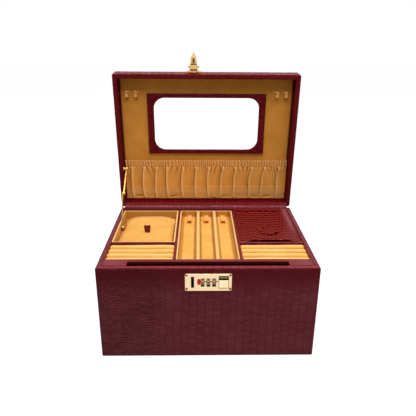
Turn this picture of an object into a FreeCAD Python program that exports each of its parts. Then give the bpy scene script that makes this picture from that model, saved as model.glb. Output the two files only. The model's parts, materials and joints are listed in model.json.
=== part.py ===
# Leather jewellery case: hinged lid with mirror and gathered pocket, fitted tray, fall front with
# a combination lock. Millimetres, +Z up, +Y to the back, origin under the middle of the base.
import FreeCAD, Part
import math
import os
import re
import Sketcher

V = FreeCAD.Vector
doc = FreeCAD.newDocument("jewellery_case")

# Driving dimensions
driving = {
    # outer case
    "case_width": 290, "case_depth": 222, "rim_height": 135.5, "leather": 1, "board": 6,
    "base_cloth": 1, "lining": 1.5, "corner_round": 3, "edge_round": 1.5, "base_inset": 2,
    # fall front
    "front_board": 7, "front_gap": 0.3, "front_sill": 1.3, "front_lining": 1.2, "hinge_bead": 0.5,
    "hinge_strip": 24.5, "lining_margin": 4,
    # fitted tray
    "shelf_top": 88, "shelf": 5, "tray_wall": 2, "tray_top": 134.2, "deck_top": 135,
    "tray_front": 83.5, "tray_back": 98, "bay_inner": 43, "bay_outer": 47,
    "cross_front": 31, "cross_back": 28, "deck_front": 100, "deck_sheet": 3.5,
    "slot_half": 106.5, "slot_back": 90.5, "channel_floor": 124, "channel_half": 11.2,
    "channel_outer_in": 15.6, "ledge": 121.4, "ledge_wide": 10, "cap_round": 1.2,
    # ring beds
    "roll_count": 4, "roll_top": 133.4, "roll_valley": 127, "roll_gap": 0.9, "slit_depth": 3,
    # left well cover and right flap
    "cover_left": 130.5, "cover_right": 50.2, "cover_back": 89, "cover_front": 25, "cover_round": 24,
    "cover_seat": 121.4, "cover_edge": 4.6, "cover_crown": 7.4, "cover_draw": 0.7,
    "cover_front_round": 5, "cover_clear": 0.2,
    "pull_x": 91, "pull_y": 15, "pull_low": 6.6, "pull_high": 10.6, "pull_tall": 13, "pull_thick": 1.8,
    "pull_sunk": 2, "pull_round": 0.8,
    "flap_sheet": 2, "flap_seat": 132.2, "flap_bow": 5.8, "flap_clear": 1,
    "flap_hinge_in": 1.2, "flap_roll": 0.9, "flap_tab_left": 78, "flap_tab_front": -12, "flap_tab_wide": 30,
    "flap_tab_long": 28, "flap_tab_thick": 1.4, "flap_tab_round": 12,
    # channel tabs
    "tab_wide": 7.6, "tab_reach": 26, "tab_thick": 2.4, "tab_rise": 5, "tab_sag": 0.6, "tab_pitch": 27.8,
    # lid
    "rim_gap": 1.2, "lid_height": 27, "lid_angle": 85.55, "hinge_back": 0.6, "hinge_leather": 0.4,
    "lid_bead": 0.45, "lid_round": 2.5,
    # mirror, measured up the open lid from its hinge side
    "mirror_half": 95, "mirror_low": 90.7, "mirror_high": 189.2, "mirror_frame": 4, "opening_half": 84.5,
    "opening_low": 97.1, "opening_high": 183.1, "opening_round": 17.5, "glass": 2, "rebate": 3.5,
    # gathered pocket
    "pocket_low": 7.2, "pocket_high": 78.4, "pocket_band": 13, "pocket_folds": 12, "pocket_half": 137,
    "pocket_swell": 7, "fold_depth": 2.4, "pocket_hem": 1, "pocket_flat": 8.5,
    # necklace hooks
    "hook_outer": 126, "hook_inner": 112, "hook_low": 182.8, "hook_tall": 10.5, "hook_wide": 6.5,
    "hook_plate": 1.2, "hook_reach": 6.4, "hook_strip": 1.3, "hook_bend": 2.6, "hook_lip": 7,
    # lid stay
    "stay_base_y": 43.5, "stay_base_z": 126.5, "stay_elbow_y": 69.8, "stay_elbow_z": 174.7,
    "stay_lid_along": 67.5, "stay_lid_depth": 4.5, "arm_wide": 6, "arm_thick": 1.5, "pin_radius": 1.5,
    "pin_play": 0.05, "lower_arm_x": 135.2, "upper_arm_x": 133.4, "knob_radius": 3.4,
    "knob_tall": 2.4, "knob_round": 1.8, "rivet_head": 2.4, "rivet_tall": 1.2, "rivet_round": 0.8,
    "base_foot": 5, "lid_foot": 4, "lid_foot_tall": 1, "pillar": 1.8, "open_pivot_gap": 0.5,
    "boss_share": 1.15,
    # lock
    "lock_wide": 60.5, "lock_low": 104.1, "lock_high": 128.8, "lock_plate": 2, "lock_round": 1.6,
    "lock_case_half": 26.9, "lock_case_low": 105.4, "lock_case_high": 128, "lock_case_deep": 11.5,
    "lock_steel": 0.8, "wheel_height": 116.4, "wheel_radius": 6, "wheel_wide": 4.4,
    "wheel_pitch": 7.4, "wheel_proud": 0.8, "wheel_bevel": 0.5, "digit_count": 10, "finger_groove": 0.5,
    "axle_radius": 1.4, "axle_spare": 1.4, "cheek_half": 4, "cheek_front": 3,
    "window_wide": 5, "window_tall": 12,
    "staple_x": 20.4, "staple_slot": 4, "slot_low": 108.8, "slot_high": 125, "screw_x": 28.2,
    "screw_low": 107, "screw_high": 127.1, "screw_head": 1.5, "screw_shank": 0.7,
    "screw_proud": 0.7,
    "button_left": 13.6, "button_right": 26, "button_low": 108.8, "button_high": 119.6,
    "button_window": 6.2, "button_play": 0.4, "button_proud": 0.7, "button_round": 0.6,
    "slide_sheet": 1.2, "slide_end": 1.4, "arm_over": 1.3, "arm_tall": 1.4, "tooth_half": 3,
    "tooth_front": 3.6, "tooth_thick": 1.2, "tooth_hook": 2.2,
    # hasp
    "hasp_axis_up": 2.3, "hasp_axis_out": 2.5, "knuckle": 1.7, "hasp_pin": 0.8, "hasp_length": 27.5,
    "hasp_sheet": 1.4, "hasp_wide": 24, "hasp_tall": 12.5, "hasp_plate": 1.2, "hasp_rest": 120,
    "leaf_half": 3.9, "knuckle_end": 7, "pin_end": 7.6, "ear_x": 9, "ear_up": 5.5, "ear_round": 5,
    "plate_round": 1,
    "tongue_thick": 2.8, "tongue_low": 113, "tongue_high": 121.3, "tongue_deep": 10.7,
    "notch_front": 3, "notch_wide": 2.4, "notch_deep": 2.7,
}
sheet = doc.addObject("Spreadsheet::Sheet", "Dims")
for row, (alias, number) in enumerate(driving.items(), 1):
    sheet.set(f"A{row}", alias)
    sheet.set(f"B{row}", str(number))
    sheet.setAlias(f"B{row}", alias)
doc.recompute()


def size(alias):
    return float(sheet.get(alias))


def formula(text):
    return re.sub(r"[a-z_]+", lambda word: f"Dims.{word[0]}" if word[0] in driving else word[0], str(text))


def bind(item, prop, text):
    item.setExpression(prop, formula(text))


# Named planes of the case, as formulas of the driving dimensions
side = "(case_width / 2)"
end = "(case_depth / 2)"
inner_side = "(case_width / 2 - leather - board)"
inner_back = "(case_depth / 2 - leather - board)"
front_inside = "(leather + front_board - case_depth / 2)"
carcass_front = "(leather + front_board + front_gap - case_depth / 2)"
floor_top = "(base_cloth + board)"
lid_rim = "(rim_height + rim_gap)"
lid_top = "(rim_height + rim_gap + lid_height)"
lid_board_low = "(rim_height + rim_gap + lid_height - leather - board)"
lid_lining_low = "(rim_height + rim_gap + lid_height - leather - board - lining)"
lock_face = "(0 - case_depth / 2 - lock_plate)"

nodes = []


def keep(item, label, placement=None):
    item.Label = label
    if placement is not None:
        item.Placement = placement
    nodes.append(item)
    return item


# Sketched bodies: a rectangle on one of the body's own planes, padded or pocketed
def new_body(label, placement=None):
    return keep(doc.addObject("PartDesign::Body", label), label, placement)


def own_datum(body, role):
    return ([item for item in body.Origin.OriginFeatures if item.Role == role][0], [""])


def empty_sketch(body, plane, name):
    sketch = body.newObject("Sketcher::SketchObject", name)
    sketch.AttachmentSupport = own_datum(body, plane)
    sketch.MapMode = "FlatFace"
    return sketch


def framed_sketch(body, plane, across, up, level):
    sketch = empty_sketch(body, plane, "Outline")
    bind(sketch, "AttachmentOffset.Base.x", across[0])
    bind(sketch, "AttachmentOffset.Base.y", up[0])
    bind(sketch, "AttachmentOffset.Base.z", level)
    corners = [V(0, 0), V(10, 0), V(10, 10), V(0, 10)]
    for index in range(4):
        sketch.addGeometry(Part.LineSegment(corners[index], corners[(index + 1) % 4]))
    for index in range(4):
        sketch.addConstraint(Sketcher.Constraint("Coincident", index, 2, (index + 1) % 4, 1))
        sketch.addConstraint(Sketcher.Constraint("Vertical" if index % 2 else "Horizontal", index))
    sketch.addConstraint(Sketcher.Constraint("Coincident", 0, 1, -1, 1))
    wide = sketch.addConstraint(Sketcher.Constraint("DistanceX", 0, 1, 0, 2, 10))
    tall = sketch.addConstraint(Sketcher.Constraint("DistanceY", 1, 1, 1, 2, 10))
    bind(sketch, f"Constraints[{wide}]", f"({across[1]}) - ({across[0]})")
    bind(sketch, f"Constraints[{tall}]", f"({up[1]}) - ({up[0]})")
    return sketch


def pad(body, x, y, z):
    feature = body.newObject("PartDesign::Pad", "Pad")
    feature.Profile = framed_sketch(body, "XY_Plane", x, y, z[0])
    bind(feature, "Length", f"({z[1]}) - ({z[0]})")
    return feature


def pocket_down(body, x, y, z):
    feature = body.newObject("PartDesign::Pocket", "Pocket")
    feature.Profile = framed_sketch(body, "XY_Plane", x, y, z[1])
    bind(feature, "Length", f"({z[1]}) - ({z[0]})")
    return feature


def pad_front(body, x, y, z):
    feature = body.newObject("PartDesign::Pad", "Pad")
    feature.Profile = framed_sketch(body, "XZ_Plane", x, z, f"0 - ({y[1]})")
    bind(feature, "Length", f"({y[1]}) - ({y[0]})")
    return feature


def pocket_back(body, x, y, z):
    feature = body.newObject("PartDesign::Pocket", "Pocket")
    feature.Profile = framed_sketch(body, "XZ_Plane", x, z, f"0 - ({y[0]})")
    bind(feature, "Length", f"({y[1]}) - ({y[0]})")
    return feature


def chosen_edges(feature, test):
    doc.recompute()
    return [f"Edge{number}" for number, edge in enumerate(feature.Shape.Edges, 1) if test(edge)]


def round_edges(body, feature, radius, test):
    fillet = body.newObject("PartDesign::Fillet", "Round")
    fillet.Base = (feature, chosen_edges(feature, test))
    bind(fillet, "Radius", radius)
    return fillet


def along(edge, axis):
    return abs(getattr(edge.BoundBox, f"{axis}Length") - edge.BoundBox.DiagonalLength) < 0.01


def near(edge, axis, place):
    return abs(edge.BoundBox.Center[axis] - place) < 0.02


def board(label, x, y, z, placement=None):
    body = new_body(label, placement)
    pad(body, x, y, z)
    return body


# Primitive solids, bound to the sheet
def block(x, y, z):
    item = doc.addObject("Part::Box", "Block")
    for prop, axis, (low, high) in zip(("Length", "Width", "Height"), "xyz", (x, y, z)):
        bind(item, prop, f"({high}) - ({low})")
        bind(item, f"Placement.Base.{axis}", low)
    return item


def rod(x, y, z, radius):
    item = doc.addObject("Part::Cylinder", "Rod")
    item.Placement = FreeCAD.Placement(V(0, 0, 0), FreeCAD.Rotation(V(0, 1, 0), 90))
    bind(item, "Radius", radius)
    bind(item, "Height", f"({x[1]}) - ({x[0]})")
    for axis, place in zip("xyz", (x[0], y, z)):
        bind(item, f"Placement.Base.{axis}", place)
    return item


def stud(x, y, z, radius):
    item = doc.addObject("Part::Cylinder", "Stud")
    item.Placement = FreeCAD.Placement(V(0, 0, 0), FreeCAD.Rotation(V(1, 0, 0), -90))
    bind(item, "Radius", radius)
    bind(item, "Height", f"({y[1]}) - ({y[0]})")
    for axis, place in zip("xyz", (x, y[0], z)):
        bind(item, f"Placement.Base.{axis}", place)
    return item


def fuse(items):
    joined = doc.addObject("Part::MultiFuse", "Fuse")
    joined.Shapes = items
    joined.Refine = True
    return joined


def cut(base, tool):
    rest = doc.addObject("Part::Cut", "Cut")
    rest.Base = base
    rest.Tool = tool
    return rest


def upright_edges(shape, least):
    return [edge for edge in shape.Edges if edge.BoundBox.ZLength > least]


def group(items, label, placement=None):
    several = doc.addObject("Part::Compound", label)
    several.Links = items
    return keep(several, label, placement)


def formed(shape, label, placement=None):
    item = doc.addObject("Part::Feature", label)
    item.Shape = shape
    return keep(item, label, placement)


def outline_face(points):
    return Part.Face(Part.makePolygon([*points, points[0]]))


# Base cloth and carcass boards
half_x = size("case_width") / 2
half_y = size("case_depth") / 2
carcass_y = (carcass_front, f"{end} - leather")
upright = (floor_top, "rim_height - leather")
hinge_line = f"leather / 2 - {end}"
strip_back = f"hinge_strip + {hinge_line}"

base_sheet = new_body("base_sheet")
cloth_x = (f"base_inset - {side}", f"{side} - base_inset")
cloth = pad(base_sheet, cloth_x, (strip_back, f"{end} - base_inset"), (0, "base_cloth"))
round_edges(base_sheet, cloth, "corner_round",
            lambda edge: along(edge, "Z") and near(edge, 1, half_y - size("base_inset")))

board("floor_board", (f"leather - {side}", f"{side} - leather"), carcass_y, ("base_cloth", floor_top))
board("left_wall", (f"leather - {side}", f"0 - {inner_side}"), carcass_y, upright)
board("right_wall", (inner_side, f"{side} - leather"), carcass_y, upright)
board("back_wall", (f"0 - {inner_side}", inner_side), (inner_back, f"{end} - leather"), upright)

# Leather wrap of the sides and back, turned over the rim
case_leather = new_body("case_leather")
wrap = pad(case_leather, (f"0 - {side}", side), (carcass_front, end), ("base_cloth", "rim_height"))
wrap = round_edges(case_leather, wrap, "corner_round",
                   lambda edge: along(edge, "Z") and near(edge, 1, half_y))
round_edges(case_leather, wrap, "edge_round",
            lambda edge: near(edge, 2, size("rim_height"))
            and (not along(edge, "X") or near(edge, 1, half_y)))
pocket_down(case_leather, (f"0 - {inner_side}", inner_side), (carcass_front, inner_back),
            ("base_cloth", "rim_height"))
under = case_leather.newObject("PartDesign::Pocket", "BoardSpace")
under.Profile = framed_sketch(case_leather, "XY_Plane", (f"leather - {side}", f"{side} - leather"),
                              carcass_y, "base_cloth")
under.Reversed = True
bind(under, "Length", "rim_height - leather - base_cloth")

# Suede lining cards of the lower compartment and the shelf above it
shelf_low = "(shelf_top - shelf)"
card = (f"{floor_top} + lining", shelf_low)
compartment_y = (carcass_front, inner_back)
board("lower_floor_lining", (f"0 - {inner_side}", inner_side), compartment_y,
      (floor_top, f"{floor_top} + lining"))
group([block((f"0 - {inner_side}", f"lining - {inner_side}"), compartment_y, card),
       block((f"{inner_side} - lining", inner_side), compartment_y, card)], "lower_side_linings")
board("lower_back_lining", (f"lining - {inner_side}", f"{inner_side} - lining"),
      (f"{inner_back} - lining", inner_back), card)
board("tray_shelf", (f"0 - {inner_side}", inner_side), ("0 - deck_front", inner_back),
      (shelf_low, "shelf_top"))

# Front deck: a riser and a leather top with the finger slot behind the fall front
front_deck = new_body("front_deck")
pad(front_deck, (f"0 - {inner_side}", inner_side), ("0 - tray_front - deck_sheet", "0 - tray_front"),
    ("shelf_top", "deck_top"))
deck = pad(front_deck, (f"0 - {inner_side}", inner_side), ("0 - deck_front", "0 - tray_front"),
           ("deck_top - deck_sheet", "deck_top"))
round_edges(front_deck, deck, "cap_round",
            lambda edge: along(edge, "X") and near(edge, 1, -size("deck_front")))
pocket_down(front_deck, ("0 - slot_half", "slot_half"), ("0 - deck_front", "0 - slot_back"),
            ("deck_top - deck_sheet", "deck_top"))
board("back_deck", (f"0 - {inner_side}", inner_side), ("tray_back", inner_back), ("shelf_top", "deck_top"))


# Leather-capped partitions between the bays
def partition(label, x, y, run):
    body = new_body(label)
    wall = pad(body, x, y, ("shelf_top", "deck_top"))
    round_edges(body, wall, "cap_round",
                lambda edge: along(edge, run) and near(edge, 2, size("deck_top")))


bay_y = ("0 - tray_front", "tray_back")
cross_y = ("0 - cross_front", "0 - cross_back")
partition("left_partition", ("0 - bay_outer", "0 - bay_inner"), bay_y, "Y")
partition("right_partition", ("bay_inner", "bay_outer"), bay_y, "Y")
partition("left_cross_partition", (f"0 - {inner_side}", "0 - bay_outer"), cross_y, "X")
partition("right_cross_partition", ("bay_outer", inner_side), cross_y, "X")

# Suede trays: the left well has a ledge for its cover, the right one stops under its flap
well_y = ("0 - cross_back", "tray_back")
well_in_y = ("tray_wall - cross_back", "tray_back - tray_wall")
left_tray = new_body("left_well_tray")
pad(left_tray, (f"0 - {inner_side}", "0 - bay_outer"), well_y, ("shelf_top", "tray_top"))
pocket_down(left_tray, (f"tray_wall - {inner_side}", "0 - bay_outer - tray_wall"), well_in_y,
            ("ledge", "tray_top"))
left_well = pocket_down(left_tray, (f"ledge_wide - {inner_side}", "0 - bay_outer - ledge_wide"),
                        ("ledge_wide - cross_back", "tray_back - ledge_wide"),
                        ("shelf_top + tray_wall", "ledge"))
round_edges(left_tray, left_well, "corner_round",
            lambda edge: along(edge, "Z") and edge.BoundBox.ZMax < size("ledge") + 0.1
            and edge.BoundBox.ZMin > size("shelf_top") + 1)

right_tray = new_body("right_well_tray")
pad(right_tray, ("bay_outer", inner_side), well_y, ("shelf_top", "flap_seat - front_gap"))
right_well = pocket_down(right_tray, ("bay_outer + tray_wall", f"{inner_side} - tray_wall"), well_in_y,
                         ("shelf_top + tray_wall", "flap_seat - front_gap"))
round_edges(right_tray, right_well, "corner_round",
            lambda edge: along(edge, "Z") and edge.BoundBox.ZMin > size("shelf_top") + 1)

# Channel tray: three long grooves, hollow underneath
channel_tray = new_body("channel_tray")
pad(channel_tray, ("0 - bay_inner", "bay_inner"), bay_y, ("shelf_top", "tray_top"))
channel_y = ("tray_wall - tray_front", "tray_back - tray_wall")
for channel_x in (("tray_wall - bay_inner", "0 - channel_outer_in"), ("0 - channel_half", "channel_half"),
                  ("channel_outer_in", "bay_inner - tray_wall")):
    groove = pocket_down(channel_tray, channel_x, channel_y, ("channel_floor", "tray_top"))
round_edges(channel_tray, groove, "edge_round",
            lambda edge: along(edge, "Y") and near(edge, 2, size("channel_floor")))
hollow = channel_tray.newObject("PartDesign::Pocket", "Underside")
hollow_x = ("tray_wall - bay_inner", "bay_inner - tray_wall")
hollow.Profile = framed_sketch(channel_tray, "XY_Plane", hollow_x, channel_y, "shelf_top")
hollow.Reversed = True
bind(hollow, "Length", "channel_floor - tray_wall - shelf_top")

# Strap tabs: a suede tongue folded double at the back of each channel, its front end lifted
tab_back = size("tray_back") - size("tray_wall")
tab_front = tab_back - size("tab_reach")
tab_low = size("channel_floor") + size("front_gap")
tab_up = V(0, 0, size("tab_thick"))


def tab_face(x):
    root = V(x, tab_back, tab_low)
    tip = V(x, tab_front, tab_low + size("tab_rise"))
    belly = (root + tip) * 0.5 - V(0, 0, size("tab_sag"))
    nose = tip + tab_up * 0.5 - V(0, size("tab_thick") / 2, 0)
    return Part.Face(Part.Wire([Part.Arc(root, belly, tip).toShape(),
                                Part.Arc(tip, nose, tip + tab_up).toShape(),
                                Part.Arc(tip + tab_up, belly + tab_up, root + tab_up).toShape(),
                                Part.LineSegment(root + tab_up, root).toShape()]))


tab_starts = [place * size("tab_pitch") - size("tab_wide") / 2 for place in (-1, 0, 1)]
tabs = [tab_face(x).extrude(V(size("tab_wide"), 0, 0)) for x in tab_starts]
formed(Part.makeCompound(tabs), "channel_tabs")


# Ring beds: four foam rolls on a block, with a slit between rolls for the ring shanks
def ring_bed(label, x_low, x_high):
    y_low = -size("tray_front")
    pitch = (size("tray_front") - size("cross_front")) / size("roll_count")
    gap = size("roll_gap") / 2
    base = size("shelf_top")
    valley = size("roll_valley")
    edges = [Part.LineSegment(V(x_low, -size("cross_front"), base), V(x_low, y_low, base)).toShape()]
    last = V(x_low, y_low, base)
    for roll in range(int(size("roll_count"))):
        left = V(x_low, y_low + roll * pitch + gap, valley)
        crown = V(x_low, y_low + (roll + 0.5) * pitch, size("roll_top"))
        right = V(x_low, y_low + (roll + 1) * pitch - gap, valley)
        slit = V(x_low, y_low + roll * pitch, valley - size("slit_depth"))
        if roll:
            edges.append(Part.LineSegment(last, slit).toShape())
            last = slit
        edges.append(Part.LineSegment(last, left).toShape())
        edges.append(Part.Arc(left, crown, right).toShape())
        last = right
    edges.append(Part.LineSegment(last, V(x_low, -size("cross_front"), base)).toShape())
    section = Part.Face(Part.Wire(edges))
    formed(section.extrude(V(x_high - x_low, 0, 0)), label)


inside_x = half_x - size("leather") - size("board")
ring_bed("left_ring_bed", -inside_x, -size("bay_outer"))
ring_bed("right_ring_bed", size("bay_outer"), inside_x)

# Leather hinge under the fall front, ending in a bead on the fold line
strip = block(cloth_x, (hinge_line, strip_back), (0, "base_cloth"))
bead = rod(cloth_x, hinge_line, "hinge_bead", "hinge_bead")
keep(fuse([strip, bead]), "front_hinge_strip")

# Lid hinge: leather on the two back rims, folding round a bead behind the case
lid_axis_y = f"({end} + hinge_back)"
lid_axis_z = "(rim_height + rim_gap / 2)"
strip_x = (f"0 - {inner_side}", inner_side)
rim_strip = block(strip_x, (inner_back, lid_axis_y), ("rim_height", "rim_height + hinge_leather"))
keep(fuse([rim_strip, rod(strip_x, lid_axis_y, lid_axis_z, "lid_bead")]), "hinge_strip_case")

hinge_point = V(0, half_y + size("hinge_back"), size("rim_height") + size("rim_gap") / 2)
lid_open = FreeCAD.Placement(V(0, 0, 0), FreeCAD.Rotation(V(1, 0, 0), -size("lid_angle")), hinge_point)
board("hinge_strip_lid", strip_x, (inner_back, f"{end} - 2 * front_gap"),
      (f"{lid_rim} - hinge_leather", lid_rim), lid_open)

# Lid boards and leather, drawn shut and stood open on the hinge line
lid_wall_z = (f"{lid_rim} + leather", lid_board_low)
lid_y = (f"leather - {end}", f"{end} - leather")
board("lid_panel", (f"leather - {side}", f"{side} - leather"), lid_y,
      (lid_board_low, f"{lid_top} - leather"), lid_open)
board("lid_left_wall", (f"leather - {side}", f"0 - {inner_side}"), lid_y, lid_wall_z, lid_open)
board("lid_right_wall", (inner_side, f"{side} - leather"), lid_y, lid_wall_z, lid_open)
board("lid_front_wall", strip_x, (f"leather - {end}", f"0 - {inner_back}"), lid_wall_z, lid_open)
board("lid_back_wall", strip_x, (inner_back, f"{end} - leather"), lid_wall_z, lid_open)
board("lid_lining", strip_x, (f"0 - {inner_back}", inner_back), (lid_lining_low, lid_board_low), lid_open)

rim_z = size("rim_height") + size("rim_gap")
top_z = rim_z + size("lid_height")
lid_leather = new_body("lid_leather", lid_open)
skin = pad(lid_leather, (f"0 - {side}", side), (f"0 - {end}", end), (lid_rim, lid_top))
skin = round_edges(lid_leather, skin, "corner_round", lambda edge: along(edge, "Z"))
round_edges(lid_leather, skin, "lid_round", lambda edge: near(edge, 2, top_z))
pocket_down(lid_leather, strip_x, (f"0 - {inner_back}", inner_back), (lid_rim, f"{lid_rim} + leather"))
space = lid_leather.newObject("PartDesign::Pocket", "BoardSpace")
space.Profile = framed_sketch(lid_leather, "XY_Plane", (f"leather - {side}", f"{side} - leather"), lid_y,
                              f"{lid_rim} + leather")
space.Reversed = True
bind(space, "Length", "lid_height - leather - leather")

lining_z = top_z - size("leather") - size("board") - size("lining")

# Mirror: bevelled glass held in the rebate of a padded leather frame
frame_y = (f"{end} - mirror_high", f"{end} - mirror_low")
open_y = (f"{end} - opening_high", f"{end} - opening_low")
frame_z = (f"{lid_lining_low} - mirror_frame", lid_lining_low)
rebate_x = ("0 - opening_half - rebate", "opening_half + rebate")
rebate_y = (f"{open_y[0]} - rebate", f"{open_y[1]} + rebate")
rebate_z = (f"{lid_lining_low} - glass", lid_lining_low)
mirror_frame = new_body("mirror_frame", lid_open)
face = pad(mirror_frame, ("0 - mirror_half", "mirror_half"), frame_y, frame_z)
round_edges(mirror_frame, face, "edge_round",
            lambda edge: near(edge, 2, lining_z - size("mirror_frame")))
opening = pocket_down(mirror_frame, ("0 - opening_half", "opening_half"), open_y, frame_z)
round_edges(mirror_frame, opening, "opening_round",
            lambda edge: along(edge, "Z")
            and (near(edge, 0, size("opening_half")) or near(edge, 0, -size("opening_half"))))
pocket_down(mirror_frame, rebate_x, rebate_y, rebate_z)
board("mirror_glass", rebate_x, rebate_y, rebate_z, lid_open)


# Gathered pocket: swelling between its folds, drawn in under the elastic band and at both ends
def pocket_section(rise, swell, fold):
    y = half_y - rise
    folds = int(size("pocket_folds"))
    hem = V(0, 0, size("pocket_hem"))
    belly_half = size("pocket_half") - size("pocket_flat")
    pitch = 2 * belly_half / folds
    start = V(-size("pocket_half"), y, lining_z)
    finish = V(size("pocket_half"), y, lining_z)
    ridges = [V(-belly_half, y, lining_z) - hem]
    ridges += [V(-belly_half + k * pitch, y, lining_z - swell) for k in range(1, folds)]
    ridges += [V(belly_half, y, lining_z) - hem]
    edges = [Part.LineSegment(start, start - hem).toShape(),
             Part.LineSegment(start - hem, ridges[0]).toShape()]
    for left, right in zip(ridges, ridges[1:]):
        middle = (left + right) * 0.5 - V(0, 0, fold)
        edges.append(Part.Arc(left, middle, right).toShape())
    edges += [Part.LineSegment(ridges[-1], finish - hem).toShape(),
              Part.LineSegment(finish - hem, finish).toShape(),
              Part.LineSegment(finish, start).toShape()]
    return Part.Wire(edges)


band_low = size("pocket_high") - size("pocket_band")
# height up the lid, share of the full swell, share of the full fold depth
pocket_profile = [(size("pocket_low"), 0.21, 0.25), (0.35 * band_low, 1, 1), (band_low, 0.45, 0.7),
                  (size("pocket_high"), 0.45, 0.5)]
sections = [pocket_section(rise, swell * size("pocket_swell"), fold * size("fold_depth"))
            for rise, swell, fold in pocket_profile]
formed(Part.makeLoft(sections, True, True), "lid_pocket", lid_open)

# Necklace hooks: a bent strip with its mouth towards the top of the open lid, on a small plate
hook_root = V(0, half_y - size("hook_low"), lining_z - size("hook_plate"))
hook_out = V(0, 0, -1)
hook_along = V(0, -1, 0)


def hook_corner(near_root, near_lip, radius):
    middle = near_root + hook_along * radius
    slope = math.sqrt(0.5)
    return Part.Arc(near_root, middle + (hook_out - hook_along) * radius * slope, near_lip).toShape()


def hook_strip(x):
    strip = size("hook_strip")
    bend = size("hook_bend")
    side_x = V(x, 0, 0)
    outer_run = size("hook_reach") - size("hook_plate") - bend
    outer = [hook_root + side_x, hook_root + side_x + hook_out * outer_run]
    outer.append(outer[1] + (hook_out + hook_along) * bend)
    outer.append(outer[2] + hook_along * (size("hook_lip") - bend))
    inner = [outer[0] + hook_along * strip, outer[1] + hook_along * strip,
             outer[2] - hook_out * strip, outer[3] - hook_out * strip]
    return Part.Face(Part.Wire([Part.LineSegment(outer[0], outer[1]).toShape(),
                                hook_corner(outer[1], outer[2], bend),
                                Part.LineSegment(outer[2], outer[3]).toShape(),
                                Part.LineSegment(outer[3], inner[3]).toShape(),
                                Part.LineSegment(inner[3], inner[2]).toShape(),
                                hook_corner(inner[1], inner[2], bend - strip),
                                Part.LineSegment(inner[1], inner[0]).toShape(),
                                Part.LineSegment(inner[0], outer[0]).toShape()]))


hooks = []
for hook_x in (-size("hook_outer"), -size("hook_inner"), size("hook_inner"), size("hook_outer")):
    left_x = hook_x - size("hook_wide") / 2
    plate = Part.makeBox(size("hook_wide"), size("hook_tall"), size("hook_plate"),
                         V(left_x, hook_root.y - size("hook_tall"), hook_root.z))
    plate = plate.makeFillet(size("edge_round"), upright_edges(plate, size("hook_plate") / 2))
    strip_wide = V(size("hook_wide") - size("hook_bend"), 0, 0)
    strip = hook_strip(left_x + size("hook_bend") / 2).extrude(strip_wide)
    hooks.append(plate.fuse(strip).removeSplitter())
formed(Part.makeCompound(hooks), "necklace_hooks", lid_open)


# Lid stay: two flat arms on pins, folding forward into the left well as the lid shuts
x_way = V(1, 0, 0)


def arm_shape(start, finish, holes, boss):
    half = size("arm_wide") / 2
    run = (finish - start).normalize()
    cross = V(0, -run.z, run.y)
    outline = [Part.LineSegment(start + cross * half, finish + cross * half).toShape(),
               Part.Arc(finish + cross * half, finish + run * half, finish - cross * half).toShape(),
               Part.LineSegment(finish - cross * half, start - cross * half).toShape(),
               Part.Arc(start - cross * half, start - run * half, start + cross * half).toShape()]
    solid = Part.Face(Part.Wire(outline)).extrude(V(size("arm_thick"), 0, 0))
    solid = solid.fuse(Part.makeCylinder(half * size("boss_share"), size("arm_thick"), boss, x_way))
    for hole in holes:
        bore = size("pin_radius") + size("pin_play")
        solid = solid.cut(Part.makeCylinder(bore, size("arm_thick"), hole, x_way))
    return solid.removeSplitter()


def at_x(point, x):
    return V(x, point.y, point.z)


stay_base = V(0, size("stay_base_y"), size("stay_base_z"))
stay_elbow = V(0, size("stay_elbow_y"), size("stay_elbow_z"))
stay_shut = V(0, half_y - size("stay_lid_along"), rim_z + size("stay_lid_depth"))
stay_lid = lid_open.multVec(stay_shut)
lower_x = -size("lower_arm_x")
upper_x = -size("upper_arm_x")
lower_inner = lower_x + size("arm_thick")
upper_inner = upper_x + size("arm_thick")
tray_face = -inside_x + size("tray_wall")
play = size("front_gap")

lower_base = at_x(stay_base, lower_x)
lower_elbow = at_x(stay_elbow, lower_x)
formed(arm_shape(lower_base, lower_elbow, [lower_base], lower_elbow), "stay_lower_arm")
elbow_pin = Part.makeCylinder(size("pin_radius"), upper_inner + play - lower_inner,
                              at_x(stay_elbow, lower_inner), x_way)
elbow_head = Part.makeCylinder(size("rivet_head"), size("rivet_tall"), at_x(stay_elbow, upper_inner + play),
                               x_way)
elbow_head = elbow_head.makeFillet(size("rivet_round"), [elbow_head.Edges[0]])
formed(elbow_pin.fuse(elbow_head).removeSplitter(), "stay_elbow_pin")
upper_elbow = at_x(stay_elbow, upper_x)
upper_end = at_x(stay_lid, upper_x)
upper_arm = arm_shape(upper_elbow, upper_end, [upper_elbow], upper_end)
rivet = Part.makeCylinder(size("rivet_head"), size("rivet_tall"), at_x(stay_lid, upper_inner), x_way)
formed(upper_arm.fuse(rivet).removeSplitter(), "stay_upper_arm")

base_plate = Part.makeCylinder(size("base_foot"), lower_x - play - tray_face, at_x(stay_base, tray_face),
                               x_way)
base_pin = Part.makeCylinder(size("pin_radius"), lower_inner + play - tray_face,
                             at_x(stay_base, tray_face), x_way)
knob = Part.makeCylinder(size("knob_radius"), size("knob_tall"), at_x(stay_base, lower_inner + play), x_way)
knob = knob.makeFillet(size("knob_round"), [knob.Edges[0]])
formed(base_plate.fuse([base_pin, knob]).removeSplitter(), "stay_base_plate")
lid_end = at_x(stay_shut, -inside_x)
lid_foot = Part.makeCylinder(size("lid_foot"), size("lid_foot_tall"), lid_end, x_way)
lid_pillar = Part.makeCylinder(size("pillar"), upper_x - size("open_pivot_gap") + inside_x, lid_end, x_way)
formed(lid_foot.fuse(lid_pillar).removeSplitter(), "stay_lid_plate", lid_open)

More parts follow.
